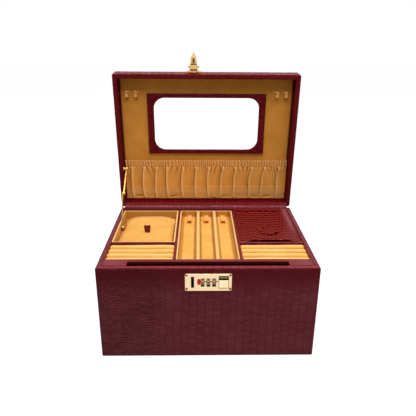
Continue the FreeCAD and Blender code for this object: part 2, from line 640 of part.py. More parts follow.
# Hasp: a screwed hinge plate on the front of the lid and a flap with a hooked tongue
hasp_y = f"(0 - {end} - hasp_axis_out)"
hasp_z = f"({lid_rim} + hasp_axis_up)"
plate_low = f"({lid_rim} + leather)"
plate_x = ("0 - staple_x - hasp_wide / 2", "hasp_wide / 2 - staple_x")
hasp_plate_y = (f"0 - {end} - hasp_plate", f"0 - {end}")
plate_block = block(plate_x, hasp_plate_y, (plate_low, f"{plate_low} + hasp_tall"))
rounded = doc.addObject("Part::Fillet", "RoundedPlate")
rounded.Base = plate_block
doc.recompute()
corners = [(number, edge) for number, edge in enumerate(plate_block.Shape.Edges, 1) if along(edge, "Y")]
corner_rounds = {True: size("ear_round"), False: size("plate_round")}
rounds = [(number, corner_rounds[edge.BoundBox.Center.z > rim_z + size("ear_up")])
          for number, edge in corners]
rounded.Edges = [(number, radius, radius) for number, radius in rounds]
room = block(("0 - staple_x - leaf_half - front_gap", "leaf_half + front_gap - staple_x"), hasp_plate_y,
             (plate_low, f"{hasp_z} + knuckle + front_gap"))
ear_bore = "screw_shank + pin_play"
ear_holes = [stud(f"{place} * ear_x - staple_x", hasp_plate_y, f"{hasp_z} + ear_up", ear_bore)
             for place in (-1, 1)]
knuckle_places = (("0 - knuckle_end - staple_x", "0 - leaf_half - front_gap - staple_x"),
                  ("leaf_half + front_gap - staple_x", "knuckle_end - staple_x"))
knuckles = [rod(knuckle_x, hasp_y, hasp_z, "knuckle") for knuckle_x in knuckle_places]
pin_hole = rod(("0 - staple_x - pin_end", "pin_end - staple_x"), hasp_y, hasp_z, "hasp_pin")
hinge_plate = cut(cut(rounded, fuse([room, *ear_holes])), pin_hole)
barrels = cut(fuse(knuckles), pin_hole)
keep(fuse([hinge_plate, barrels]), "hasp_plate", lid_open)
hinge_pin = rod(("0 - staple_x - pin_end", "pin_end - staple_x"), hasp_y, hasp_z, "hasp_pin")
group([hinge_pin], "hasp_pin", lid_open)


def screw(x, face, z):
    shank = stud(x, (face, f"{face} + lock_plate / 2"), z, "screw_shank")
    head = stud(x, (f"{face} - screw_proud", face), z, "screw_head")
    return fuse([head, shank])


group([screw(f"{place} * ear_x - staple_x", f"({hasp_plate_y[0]})", f"{hasp_z} + ear_up")
       for place in (-1, 1)], "hasp_screws", lid_open)

axis_y = -half_y - size("hasp_axis_out")
axis_z = rim_z + size("hasp_axis_up")
flap_back = axis_y + size("pin_play")
middle_x = -size("staple_x")
tip_z = axis_z - size("hasp_length")
# half width of the leaf and how far below its pin: neck, shoulder, finger wings, waist and tip
leaf_outline = [(size("leaf_half"), 0), (size("leaf_half"), 2.3), (6, 3.4), (6, 7), (8, 8), (8, 9.4),
                (5.4, 10.8), (4, size("hasp_length") - 4)]
right_side = [V(middle_x + half, flap_back, axis_z - drop) for half, drop in leaf_outline]
left_side = [V(2 * middle_x - point.x, point.y, point.z) for point in reversed(right_side)]


def straight_edges(points):
    return [Part.LineSegment(first, second).toShape() for first, second in zip(points, points[1:])]


tip = Part.Arc(right_side[-1], V(middle_x, flap_back, tip_z), left_side[0]).toShape()
rim_edges = [*straight_edges(right_side), tip, *straight_edges([*left_side, right_side[0]])]
leaf = Part.Face(Part.Wire(rim_edges)).extrude(V(0, -size("hasp_sheet"), 0))
knuckle_start = V(middle_x - size("leaf_half"), axis_y, axis_z)
knuckle_shape = Part.makeCylinder(size("knuckle"), 2 * size("leaf_half"), knuckle_start, x_way)
tongue = Part.makeBox(size("tongue_thick"), size("tongue_deep"), size("tongue_high") - size("tongue_low"),
                      V(middle_x - size("tongue_thick") / 2, flap_back, size("tongue_low")))
notch = Part.makeBox(size("tongue_thick"), size("notch_wide"), size("notch_deep"),
                     V(middle_x - size("tongue_thick") / 2, size("notch_front") - half_y,
                       size("tongue_high") - size("notch_deep")))
flap_shape = leaf.fuse([knuckle_shape, tongue.cut(notch)])
bore_radius = size("hasp_pin") + size("pin_play")
flap_bore = Part.makeCylinder(bore_radius, 2 * size("leaf_half"), knuckle_start, x_way)
hasp_turn = FreeCAD.Placement(V(0, 0, 0), FreeCAD.Rotation(V(1, 0, 0), -size("hasp_rest")),
                              V(0, axis_y, axis_z))
formed(flap_shape.cut(flap_bore).removeSplitter(), "hasp_flap", lid_open * hasp_turn)

# Fall front: board, leather wrap over the face and edges, suede lining inside
panel_y = (f"leather - {end}", front_inside)
mortise_x = ("0 - lock_case_half", "lock_case_half")
mortise_z = ("lock_case_low", "lock_case_high")
front_board = new_body("front_board")
pad_front(front_board, (f"leather - {side}", f"{side} - leather"), panel_y,
          ("front_sill", "rim_height - leather"))
pocket_back(front_board, mortise_x, panel_y, mortise_z)

front_leather = new_body("front_leather")
wrap = pad_front(front_leather, (f"0 - {side}", side), (f"0 - {end}", front_inside),
                 ("front_sill", "rim_height"))
round_edges(front_leather, wrap, "edge_round",
            lambda edge: near(edge, 1, -half_y) and not near(edge, 2, size("front_sill")))
pocket_back(front_leather, (f"leather - {side}", f"{side} - leather"), panel_y,
            ("front_sill", "rim_height - leather"))
pocket_back(front_leather, mortise_x, (f"0 - {end}", f"leather - {end}"), mortise_z)

front_lining = new_body("front_lining")
suede_y = (front_inside, f"{front_inside} + front_lining")
pad_front(front_lining, (f"lining_margin - {inner_side}", f"{inner_side} - lining_margin"), suede_y,
          (f"{floor_top} + lining_margin", "deck_top - deck_sheet - leather"))
pocket_back(front_lining, mortise_x, suede_y, mortise_z)

# Combination lock: bevelled plate with its windows, pressed case, axle and corner screws
plate_y = (lock_face, f"0 - {end}")
lock_plate = new_body("lock_plate")
plate = pad_front(lock_plate, ("0 - lock_wide / 2", "lock_wide / 2"), plate_y, ("lock_low", "lock_high"))
plate = round_edges(lock_plate, plate, "lock_round", lambda edge: along(edge, "Y"))
round_edges(lock_plate, plate, "lock_plate / 4",
            lambda edge: near(edge, 1, -half_y - size("lock_plate")))
pocket_back(lock_plate, ("0 - staple_x - staple_slot / 2", "staple_slot / 2 - staple_x"), plate_y,
            ("slot_low", "slot_high"))
for place in (-1, 0, 1):
    window_x = (f"{place} * wheel_pitch - window_wide / 2", f"{place} * wheel_pitch + window_wide / 2")
    pocket_back(lock_plate, window_x, plate_y,
                ("wheel_height - window_tall / 2", "wheel_height + window_tall / 2"))
pocket_back(lock_plate, ("button_left - button_play", "button_right + button_play"), plate_y,
            ("button_low - button_play", "button_high + button_window"))
screw_places = [(place, level) for place in (-1, 1) for level in ("screw_low", "screw_high")]
screw_sketch = empty_sketch(lock_plate, "XZ_Plane", "ScrewHoles")
bind(screw_sketch, "AttachmentOffset.Base.z", f"0 - ({lock_face})")
for place, level in screw_places:
    screw_sketch.addGeometry(Part.Circle(V(place * size("screw_x"), size(level), 0), V(0, 0, 1),
                                         size("screw_shank") + size("pin_play")))
holes = lock_plate.newObject("PartDesign::Pocket", "Holes")
holes.Profile = screw_sketch
bind(holes, "Length", "lock_plate")
group([screw(f"{place} * screw_x", lock_face, level) for place, level in screw_places], "lock_screws")

case_y = (f"0 - {end}", f"lock_case_deep - {end}")
shell = cut(block(mortise_x, case_y, mortise_z),
            block(("lock_steel - lock_case_half", "lock_case_half - lock_steel"),
                  (f"0 - {end}", f"lock_case_deep - lock_steel - {end}"),
                  ("lock_case_low + lock_steel", "lock_case_high - lock_steel")))
axle_y = f"({lock_face} - wheel_proud + wheel_radius)"
axle_end = "(1.5 * wheel_pitch + axle_spare)"
cheek_places = ((f"0 - {axle_end} - lock_steel", f"0 - {axle_end}"), (axle_end, f"{axle_end} + lock_steel"))
cheeks = [block(cheek_x, (f"{axle_y} - cheek_front", f"lock_case_deep - lock_steel - {end}"),
                ("wheel_height - cheek_half", "wheel_height + cheek_half")) for cheek_x in cheek_places]
keep(fuse([shell, *cheeks]), "lock_case")
group([rod((f"0 - {axle_end}", axle_end), axle_y, "wheel_height", "axle_radius")], "wheel_axle")


# Number wheels: turned discs with a finger groove between each two digits
def number_wheel(label, place):
    body = new_body(label)
    for axis, text in zip("xyz", (f"{place} * wheel_pitch", axle_y, "wheel_height")):
        bind(body, f"Placement.Base.{axis}", text)
    half = size("wheel_wide") / 2
    bore = size("axle_radius") + size("pin_play")
    radius = size("wheel_radius")
    bevel = size("wheel_bevel")
    points = [V(-half, bore), V(half, bore), V(half, radius - bevel), V(half - bevel, radius),
              V(bevel - half, radius), V(-half, radius - bevel)]
    sketch = empty_sketch(body, "XY_Plane", "HalfSection")
    for first, second in zip(points, points[1:] + points[:1]):
        sketch.addGeometry(Part.LineSegment(first, second))
    disc = body.newObject("PartDesign::Revolution", "Disc")
    disc.Profile = sketch
    disc.ReferenceAxis = (sketch, ["H_Axis"])
    disc.Angle = 360
    doc.recompute()
    groove_sketch = empty_sketch(body, "YZ_Plane", "FingerGroove")
    half_step = math.pi / size("digit_count")
    groove_middle = V(radius * math.sin(half_step), radius * math.cos(half_step), 0)
    groove_sketch.addGeometry(Part.Circle(groove_middle, V(0, 0, 1), size("finger_groove")))
    groove = body.newObject("PartDesign::Pocket", "Groove")
    groove.Profile = groove_sketch
    groove.Midplane = True
    bind(groove, "Length", "2 * wheel_wide")
    around = body.newObject("PartDesign::PolarPattern", "TenDigits")
    around.Originals = [groove]
    around.Axis = own_datum(body, "X_Axis")
    around.Angle = 360
    around.Occurrences = int(size("digit_count"))
    body.Tip = around


for number, place in enumerate((-1, 0, 1), 1):
    number_wheel(f"number_wheel_{number}", place)

# Release slide: the button, its carriage and an arm over the wheels to the latch tooth
carriage_y = (f"leather / 2 - {end}", f"leather / 2 + slide_sheet - {end}")
arm_z = ("tongue_high + arm_over", "tongue_high + arm_over + arm_tall")
tooth_x = ("0 - staple_x - tooth_half", "tooth_half - staple_x")
tooth_y = (f"tooth_front - {end}", f"tooth_front + tooth_thick - {end}")
button_front = -half_y - size("lock_plate") - size("button_proud")
slide = new_body("release_slide")
button = pad_front(slide, ("button_left", "button_right"), (f"{lock_face} - button_proud", carriage_y[1]),
                   ("button_low", "button_high"))
round_edges(slide, button, "button_round", lambda edge: near(edge, 1, button_front) or along(edge, "Y"))
pad_front(slide, ("button_left + button_play", "button_right - button_play / 2"), carriage_y,
          ("lock_case_low + slide_end", arm_z[1]))
pad_front(slide, (tooth_x[0], "button_left + button_play"), carriage_y, arm_z)
pad_front(slide, tooth_x, (carriage_y[0], tooth_y[1]), arm_z)
pad_front(slide, tooth_x, tooth_y, ("tongue_high - tooth_hook", arm_z[1]))


# Left well cover: a padded suede lid with a soft crown, drawn in along its sides
def cover_section(z, inset):
    left = -size("cover_left") + inset
    right = -size("cover_right") - inset
    low = -size("cover_front") + inset
    high = size("cover_back") - inset
    bow = size("cover_draw")
    back = size("cover_round") - inset / 2
    front = size("cover_front_round")
    turn = 1 - math.sqrt(0.5)

    def side_arc(first, second, inward):
        return Part.Arc(first, (first + second) * 0.5 + inward * bow, second).toShape()

    def corner_arc(first, corner, second, radius):
        way = (first - corner).normalize() + (second - corner).normalize()
        return Part.Arc(first, corner + way * radius * turn, second).toShape()

    stops = [V(left + front, low, z), V(right - front, low, z), V(right, low + front, z),
             V(right, high - back, z), V(right - back, high, z), V(left + back, high, z),
             V(left, high - back, z), V(left, low + front, z)]
    return Part.Wire([side_arc(stops[0], stops[1], V(0, 1, 0)),
                      corner_arc(stops[1], V(right, low, z), stops[2], front),
                      side_arc(stops[2], stops[3], V(-1, 0, 0)),
                      corner_arc(stops[3], V(right, high, z), stops[4], back),
                      side_arc(stops[4], stops[5], V(0, -1, 0)),
                      corner_arc(stops[5], V(left, high, z), stops[6], back),
                      side_arc(stops[6], stops[7], V(1, 0, 0)),
                      corner_arc(stops[7], V(left, low, z), stops[0], front)])


seat = size("cover_seat") + size("cover_clear")
crown = seat + size("cover_crown")
edge_high = seat + size("cover_edge")
swell = crown - edge_high
# height of each section and how far it is drawn in from the outline
cover_profile = [(seat, 0.8), ((seat + edge_high) / 2, 0), (edge_high, 0.5), (edge_high + 0.45 * swell, 3),
                 (edge_high + 0.8 * swell, 9), (crown, 20)]
well_cover = Part.makeLoft([cover_section(level, inset) for level, inset in cover_profile], True, True)
formed(well_cover, "well_cover")
pull_at = V(-size("pull_x"), size("pull_y"), crown)
foot = V(size("pull_low") / 2, 0, -size("pull_sunk"))
head = V(size("pull_high") / 2, 0, size("pull_tall"))
pull_outline = [pull_at + foot, pull_at + head, pull_at + V(-head.x, 0, head.z),
                pull_at + V(-foot.x, 0, foot.z)]
pull_tab = outline_face(pull_outline).extrude(V(0, size("pull_thick"), 0))
pull_top = [edge for edge in pull_tab.Edges if edge.BoundBox.ZMin > crown + size("pull_tall") / 2]
pull_tab = pull_tab.makeFillet(size("pull_round"), pull_top)
formed(pull_tab.cut(well_cover), "cover_tab")

# Right well flap: leather sheet with a rolled hinge edge, bowed up along its front
flap_left = size("bay_outer") + size("flap_clear")
flap_right = inside_x - size("flap_clear")
flap_axis_y = size("tray_back") - size("flap_hinge_in")
flap_axis_z = size("flap_seat") + size("flap_sheet") / 2


def flap_section(y, bow):
    left = V(flap_left, y, size("flap_seat"))
    right = V(flap_right, y, size("flap_seat"))
    crest = (left + right) * 0.5 + V(0, 0, bow)
    lift = V(0, 0, size("flap_sheet"))
    return Part.Wire([Part.Arc(left, crest, right).toShape(),
                      Part.LineSegment(right, right + lift).toShape(),
                      Part.Arc(right + lift, crest + lift, left + lift).toShape(),
                      Part.LineSegment(left + lift, left).toShape()])


flap_front = -size("cross_back") + size("flap_clear")
flap_middle = (flap_axis_y + flap_front) / 2
# each section's share of the bow, nearly flat at the hinge
flap_profile = [(flap_axis_y, 0.01), (flap_middle, 0.35), (flap_front, 1)]
flap_leaf = Part.makeLoft([flap_section(y, share * size("flap_bow")) for y, share in flap_profile], True)
roll_start = V(flap_left, flap_axis_y, flap_axis_z)
roll = Part.makeCylinder(size("flap_roll"), flap_right - flap_left, roll_start, x_way)
well_flap = flap_leaf.fuse(roll).removeSplitter()
formed(well_flap, "well_flap")
# Its pull: a tongue of the same hide lying on the flap
tongue_corner = V(size("flap_tab_left"), size("flap_tab_front"), size("flap_seat"))
tongue_tall = 2 * (size("flap_sheet") + size("flap_bow"))
flap_tab = Part.makeBox(size("flap_tab_wide"), size("flap_tab_long"), tongue_tall, tongue_corner)
front_corners = [edge for edge in upright_edges(flap_tab, tongue_tall / 2)
                 if near(edge, 1, size("flap_tab_front"))]
flap_tab = flap_tab.makeFillet(size("flap_tab_round"), front_corners)
flap_tab = flap_tab.common(flap_leaf.translated(V(0, 0, size("flap_tab_thick"))))
formed(flap_tab.cut(well_flap), "flap_tab")

# Check every object and write one file for each piece
doc.recompute()
for item in doc.Objects:
    if "Invalid" in item.State or "Error" in item.State:
        raise RuntimeError(f"{item.Label} did not rebuild: {item.State}")
os.makedirs("parts", exist_ok=True)
for node in nodes:
    if node.Shape.isNull() or not node.Shape.isValid():
        raise RuntimeError(f"{node.Label} has no valid solid")
for node in nodes:
    node.Shape.exportStep(f"parts/{node.Label}.step")
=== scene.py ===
import json
import math

import bpy
import numpy as np
from mathutils import Matrix, Vector


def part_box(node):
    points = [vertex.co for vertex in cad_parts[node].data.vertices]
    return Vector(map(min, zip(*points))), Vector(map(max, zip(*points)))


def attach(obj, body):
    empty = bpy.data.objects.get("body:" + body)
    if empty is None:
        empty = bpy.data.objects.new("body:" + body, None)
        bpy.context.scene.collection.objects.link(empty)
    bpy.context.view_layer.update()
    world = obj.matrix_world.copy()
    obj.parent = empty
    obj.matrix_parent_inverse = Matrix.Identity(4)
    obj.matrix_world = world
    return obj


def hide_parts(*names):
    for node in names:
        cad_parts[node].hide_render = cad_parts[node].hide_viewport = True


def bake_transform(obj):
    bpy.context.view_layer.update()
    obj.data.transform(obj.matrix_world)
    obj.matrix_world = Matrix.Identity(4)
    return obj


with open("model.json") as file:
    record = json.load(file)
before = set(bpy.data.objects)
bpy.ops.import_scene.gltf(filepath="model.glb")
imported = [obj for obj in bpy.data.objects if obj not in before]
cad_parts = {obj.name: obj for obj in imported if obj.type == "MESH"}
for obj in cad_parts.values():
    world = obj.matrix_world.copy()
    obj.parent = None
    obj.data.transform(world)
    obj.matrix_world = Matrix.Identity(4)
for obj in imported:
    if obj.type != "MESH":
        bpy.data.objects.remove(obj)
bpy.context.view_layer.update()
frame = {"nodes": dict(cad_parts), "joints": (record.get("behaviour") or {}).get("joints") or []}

# Photographer's table: a white paper sweep with one broad soft lamp hung above it.
# The paper is white to the lens and in reflections, and still takes the case's soft shadow.
paper_half = 6.0
paper_white = 0.92
paper_shadow = 0.35
paper_bounce = 0.4
room_light = 0.19
lamp_place = Vector((0.05, -0.32, 1.25))
lamp_aim = Vector((0.0, 0.0, 0.13))
lamp_side = 1.0
lamp_watts = 17


def place(tree, kind, sockets=None, **settings):
    """Adds one node with its settings; each socket takes a value or another node's output."""
    node = tree.nodes.new("ShaderNode" + kind)
    for setting, value in settings.items():
        setattr(node, setting, value)
    for socket, value in (sockets or {}).items():
        if isinstance(value, bpy.types.NodeSocket):
            tree.links.new(value, node.inputs[socket])
        else:
            node.inputs[socket].default_value = value
    return node


def seen(tree):
    """One for rays from the lens, from a mirror or through glass, and nought for the rest."""
    path = place(tree, "LightPath").outputs
    ends = {0: path["Is Glossy Ray"], 1: path["Is Transmission Ray"]}
    shiny = place(tree, "Math", ends, operation="MAXIMUM").outputs[0]
    return place(tree, "Math", {0: path["Is Camera Ray"], 1: shiny}, operation="MAXIMUM").outputs[0]


bpy.context.scene.view_settings.view_transform = "Standard"
room = bpy.data.worlds.new("white_room")
room.use_nodes = True
room.node_tree.nodes.clear()
tree = room.node_tree
strength = place(tree, "MapRange", {"Value": seen(tree), "To Min": room_light, "To Max": 1.0})
sky = place(tree, "Background", {"Color": (1, 1, 1, 1), "Strength": strength.outputs[0]})
place(tree, "OutputWorld", {"Surface": sky.outputs[0]})
bpy.context.scene.world = room

paper = bpy.data.materials.new("white_paper")
paper.use_nodes = True
tree = paper.node_tree
tree.nodes.clear()
dull = place(tree, "BsdfDiffuse", {"Color": (paper_bounce,) * 3 + (1,)})
shaded = place(tree, "BsdfDiffuse", {"Color": (paper_shadow,) * 3 + (1,)})
glow = place(tree, "Emission", {"Color": (1, 1, 1, 1), "Strength": paper_white})
bright = place(tree, "AddShader", {0: shaded.outputs[0], 1: glow.outputs[0]})
mixed = place(tree, "MixShader", {0: seen(tree), 1: dull.outputs[0], 2: bright.outputs[0]})
place(tree, "OutputMaterial", {"Surface": mixed.outputs[0]})
bpy.ops.object.select_all(action="DESELECT")
bpy.ops.mesh.primitive_plane_add(size=2 * paper_half, location=(0, 0, 0))
table = bpy.context.object
table.name = "table"
bpy.ops.object.transform_apply(location=True, rotation=True, scale=True)
table.data.materials.append(paper)

lamp = bpy.data.lights.new("soft_lamp", "AREA")
lamp.shape = "SQUARE"
lamp.size = lamp_side
lamp.energy = lamp_watts
lamp_holder = bpy.data.objects.new("soft_lamp", lamp)
lamp_holder.location = lamp_place
lamp_holder.rotation_euler = (lamp_aim - lamp_place).to_track_quat("-Z", "Y").to_euler()
bpy.context.scene.collection.objects.link(lamp_holder)

# Camera: a short lens on a stand in front of the case, looking down into the tray.
# Its place and turn were fitted to the edges of the case, for a picture 416 pixels square.
mm = 0.001
photo_side = 416
focal_pixels = 459.1
eye = Vector((-12.4, -631.4, 415.7)) * mm
yaw = math.radians(-1.23)
pitch = math.radians(20.76)
roll = math.radians(-0.46)
level = Vector((math.cos(yaw), math.sin(yaw), 0))
ahead = Vector((-math.sin(yaw) * math.cos(pitch), math.cos(yaw) * math.cos(pitch), -math.sin(pitch)))
upright = level.cross(ahead)
to_right = level * math.cos(roll) - upright * math.sin(roll)
to_top = level * math.sin(roll) + upright * math.cos(roll)
lens = bpy.data.cameras.new("camera")
lens.lens = focal_pixels / photo_side * lens.sensor_width
camera = bpy.data.objects.new("camera", lens)
camera.matrix_world = Matrix.Translation(eye) @ Matrix((to_right, to_top, -ahead)).transposed().to_4x4()
bpy.context.scene.collection.objects.link(camera)
bpy.context.scene.camera = camera

# Case boards: grey bookbinder's fibreboard, cut square and glued edge to edge.
# Leather or suede hides nearly all of it, so it shows only at small gaps.
nodes = frame["nodes"]
fibre_fleck = 1.8 * mm


def linear(code):
    """An sRGB hex colour as the linear colour that a shader takes."""
    parts = [int(code[start:start + 2], 16) / 255 for start in (1, 3, 5)]
    return [part / 12.92 if part <= 0.04045 else ((part + 0.055) / 1.055) ** 2.4 for part in parts] + [1.0]


def surface(name):
    """An empty material: its node tree and its shader."""
    material = bpy.data.materials.new(name)
    material.use_nodes = True
    material.node_tree.nodes.clear()
    shader = place(material.node_tree, "BsdfPrincipled")
    place(material.node_tree, "OutputMaterial", {"Surface": shader.outputs[0]})
    return material, material.node_tree, shader


def wear(material, *names):
    """Gives CAD nodes this material in place of their plain one."""
    for name in names:
        nodes[name].data.materials.clear()
        nodes[name].data.materials.append(material)


# Fibreboard: pressed paper fibres, dull grey-brown with flecks about 1.8 mm long.
fibreboard, tree, shader = surface("fibreboard")
spot = place(tree, "TexCoord").outputs["Object"]
fleck = place(tree, "TexNoise", {"Vector": spot, "Scale": 1 / fibre_fleck, "Detail": 4}).outputs[0]
tint = place(tree, "Mix", {0: fleck, 6: linear("#7C6A58"), 7: linear("#A79680")}, data_type="RGBA")
dent = place(tree, "Bump", {"Height": fleck, "Strength": 0.3, "Distance": 0.2 * mm})
tree.links.new(tint.outputs[2], shader.inputs["Base Color"])
tree.links.new(dent.outputs[0], shader.inputs["Normal"])
shader.inputs["Roughness"].default_value = 0.9
wear(fibreboard, "floor_board", "lid_panel")

# Base cloth: a plain-woven dark cotton sheet glued under the floor board.
# Its threads are drawn 1.2 mm apart, coarser than the real 0.4 mm, so that the weave shows.
base_thread = 1.2 * mm
wave_repeat = 0.314
base_thick = 0.9
base_gap = 0.05


def spots_of(piece):
    """A piece's points, in metres."""
    spots = np.empty(len(piece.data.vertices) * 3)
    piece.data.vertices.foreach_get("co", spots)
    return spots.reshape(-1, 3)


def put(piece, spots):
    """Moves a piece's points to these places, in metres."""
    piece.data.vertices.foreach_set("co", spots.ravel())
    piece.data.update()


def called(piece, name):
    """Names a piece and its mesh."""
    piece.name = name
    piece.data.name = name
    return piece


def cells(name, across, along, shape):
    """A grid laid where shape(s, t) says in millimetres, for s and t from nought to one."""
    bpy.ops.object.select_all(action="DESELECT")
    bpy.ops.mesh.primitive_grid_add(x_subdivisions=across, y_subdivisions=along, size=2)
    piece = called(bpy.context.object, name)
    shares = (spots_of(piece) + 1) / 2
    put(piece, np.stack(shape(shares[:, 0], shares[:, 1]), -1) * mm)
    return piece


def thicken(piece, thickness):
    """Gives a sheet its thickness, on the side away from its face."""
    bpy.context.view_layer.objects.active = piece
    wall = piece.modifiers.new("Wall", "SOLIDIFY")
    wall.thickness = thickness * mm
    wall.offset = -1
    bpy.ops.object.modifier_apply(modifier="Wall")


def dress(piece, material):
    """A finished piece's material and shading."""
    piece.data.materials.clear()
    piece.data.materials.append(material)
    piece.data.shade_smooth()


base_cotton, tree, shader = surface("base_cotton")
spot = place(tree, "TexCoord").outputs["Object"]
threads = {"Vector": spot, "Scale": wave_repeat / base_thread}
weft = place(tree, "TexWave", threads, bands_direction="X").outputs[1]
warp = place(tree, "TexWave", threads, bands_direction="Y").outputs[1]
weave = place(tree, "Math", {0: weft, 1: warp}, operation="MULTIPLY").outputs[0]
tint = place(tree, "Mix", {0: weave, 6: linear("#1F1412"), 7: linear("#3A2824")}, data_type="RGBA")
dent = place(tree, "Bump", {"Height": weave, "Strength": 0.6, "Distance": 0.2 * mm})
tree.links.new(tint.outputs[2], shader.inputs["Base Color"])
tree.links.new(dent.outputs[0], shader.inputs["Normal"])
shader.inputs["Roughness"].default_value = 0.95
cloth_low, cloth_high = (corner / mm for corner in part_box("base_sheet"))
base_cloth = cells(
    "base_cloth", 72, 50,
    lambda s, t: (cloth_high.x + (cloth_low.x - cloth_high.x) * s,
                  cloth_low.y + (cloth_high.y - cloth_low.y) * t,
                  base_gap + 0 * s))
thicken(base_cloth, base_thick)
dress(base_cloth, base_cotton)
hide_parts("base_sheet")
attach(base_cloth, "case")

# Case leather: one band of crocodile-embossed hide round the sides and back, glued to the boards
# and turned over the rim. The scales are real relief, pressed in with a heated plate.
hide_thick = 0.8
groove_wide = 1.9
groove_deep = 0.3
case_step = 1.5
case_half = 145
case_back = 111
case_front = -102.7
case_foot = 1
rim_high = 135.5
rim_round = 1.5
rim_turn = 7
turn_steps = 3
scale_wide = 10.4
scale_tall = 4.6
row_faint = 0.3
weld_gap = 0.01 * mm


def straight(first, last, step):
    """Rows along a straight stretch of a section, without its last point."""
    first, last = np.array(first, float), np.array(last, float)
    count = max(1, round(float(np.linalg.norm(last - first)) / step))
    return [first + (last - first) * k / count for k in range(count)]


def quarter(middle, radius, start, steps=4):
    """Rows round a quarter turn of a section, clockwise from start degrees, with both ends."""
    angles = np.radians(start - np.arange(steps + 1) * 90 / steps)
    return [np.array(middle) + radius * np.array((math.cos(angle), math.sin(angle))) for angle in angles]


def edge_columns(half, low, high, step, closed):
    """Columns round a panel's edge: each is a start and an end with their shifts, a share and an angle."""
    inward = 1 if closed else 0
    corners = [(half, low, -1, inward), (half, high, -1, -1), (-half, high, 1, -1), (-half, low, 1, inward)]
    sides = 4 if closed else 3
    columns = []
    for side in range(sides):
        start, end = corners[side], corners[(side + 1) % 4]
        count = round(math.dist(start[:2], end[:2]) / step)
        angle = side * math.pi / 2
        columns += [(*start, *end, k / count, angle) for k in range(count + 1)]
        if closed or side < sides - 1:
            columns += [(*end, *end, 0, angle + k / turn_steps * math.pi / 2) for k in range(1, turn_steps)]
    if closed:
        columns.append(columns[0])
    return np.array(columns)


def edge_places(columns, inset, corner):
    """The place of each column at each inset from the panel's edge."""
    deep = np.maximum(inset, corner)[None, :, None]
    spare = np.maximum(corner - inset, 0)[None, :, None]
    share = columns[:, 8, None, None]
    first = columns[:, None, 0:2] + columns[:, None, 2:4] * deep
    last = columns[:, None, 4:6] + columns[:, None, 6:8] * deep
    outward = np.stack((np.cos(columns[:, 9]), np.sin(columns[:, 9])), -1)[:, None]
    return first * (1 - share) + last * share + outward * spare, outward


def remember(piece, name, values):
    """Writes one number for each point of a piece."""
    values = np.ascontiguousarray(values, dtype=np.float32)
    piece.data.attributes.new(name, "FLOAT", "POINT").data.foreach_set("value", values)


def recall(piece, name):
    """Reads one number for each point of a piece."""
    values = np.empty(len(piece.data.vertices), dtype=np.float32)
    piece.data.attributes[name].data.foreach_get("value", values)
    return values.astype(float)


def edited(piece, operator, **settings):
    """Runs one edit-mode operator on the whole of a piece."""
    bpy.context.view_layer.objects.active = piece
    bpy.ops.object.mode_set(mode="EDIT")
    bpy.ops.mesh.select_all(action="SELECT")
    operator(**settings)
    bpy.ops.object.mode_set(mode="OBJECT")


def skin(name, half, low, high, corner, rows, step, closed, plate_high=None):
    """Leather over a panel's edge, in rows from its hidden end, and over its face where plate_high says.
    Each point remembers its place on the hide before it was wrapped."""
    columns = edge_columns(half, low, high, step, closed)
    inset, height = np.array(rows).T
    places, outward = edge_places(columns, inset, corner)
    lengths = np.concatenate(([0], np.cumsum(np.hypot(np.diff(inset), np.diff(height)))))
    if plate_high is None:
        around = np.concatenate(([0], np.cumsum(np.linalg.norm(np.diff(places[:, 0], axis=0), axis=1))))
        flat = np.stack(np.broadcast_arrays(around[:, None], lengths[None]), -1)
    else:
        flat = places[:, -1:] + outward * (lengths[-1] - lengths)[None, :, None]

    def wrap(s, t):
        column = np.rint(s * (len(columns) - 1)).astype(int)
        row = np.rint(t * (len(rows) - 1)).astype(int)
        wrap.flat = flat[column, row]
        return places[column, row, 0], places[column, row, 1], height[row]

    piece = cells(name, len(columns) - 1, len(rows) - 1, wrap)
    remember(piece, "flat_across", wrap.flat[:, 0])
    remember(piece, "flat_along", wrap.flat[:, 1])
    if plate_high is not None:
        start = low + corner if closed else low
        face = cells(
            name + "_face", round(2 * half / step), round((high - low) / step),
            lambda s, t: ((2 * s - 1) * (half - corner),
                          start + (high - corner - start) * t,
                          plate_high + 0 * s))
        remember(face, "flat_across", spots_of(face)[:, 0] / mm)
        remember(face, "flat_along", spots_of(face)[:, 1] / mm)
        piece.select_set(True)
        bpy.context.view_layer.objects.active = piece
        bpy.ops.object.join()
    edited(piece, bpy.ops.mesh.remove_doubles, threshold=weld_gap)
    return piece


def scatter(column, rank, salt):
    """A repeatable number from nought to one for each scale."""
    wave = np.sin(column * 12.9898 + rank * 78.233 + salt * 37.719) * 43758.5453
    return wave - np.floor(wave)


def scales(across, along, wide, tall, jitter, column_faint=0):
    """Scales laid in columns: each point's distance from the nearest groove, and its scale's own tone.
    Column_faint, in millimetres, is how much shallower the grooves between columns are."""
    column = np.floor(across / wide)
    nearest = np.full(across.shape, 9.0)
    second = nearest.copy()
    near_line = np.zeros(across.shape)
    second_line = np.zeros(across.shape)
    tone = np.zeros(across.shape)
    for side in (-1, 0, 1):
        line = column + side
        stagger = line * 0.618 % 1
        rank = np.floor(along / tall - stagger)
        for step in (-1, 0, 1):
            number = rank + step
            middle_across = (line + 0.5 + jitter * (scatter(line, number, 1) - 0.5)) * wide
            middle_along = (number + 0.5 + stagger + jitter * (scatter(line, number, 2) - 0.5)) * tall
            reach = ((across - middle_across) / wide) ** 6 + ((along - middle_along) / tall) ** 6
            reach = reach ** (1 / 6)
            closer = reach < nearest
            second_line = np.where(closer, near_line, np.where(reach < second, line, second_line))
            near_line = np.where(closer, line, near_line)
            second = np.where(closer, nearest, np.minimum(second, reach))
            tone = np.where(closer, scatter(line, number, 3), tone)
            nearest = np.where(closer, reach, nearest)
    in_column = second_line == near_line
    gap = (second - nearest) * np.where(in_column, tall, wide)
    return gap + np.where(in_column, row_faint, column_faint), tone


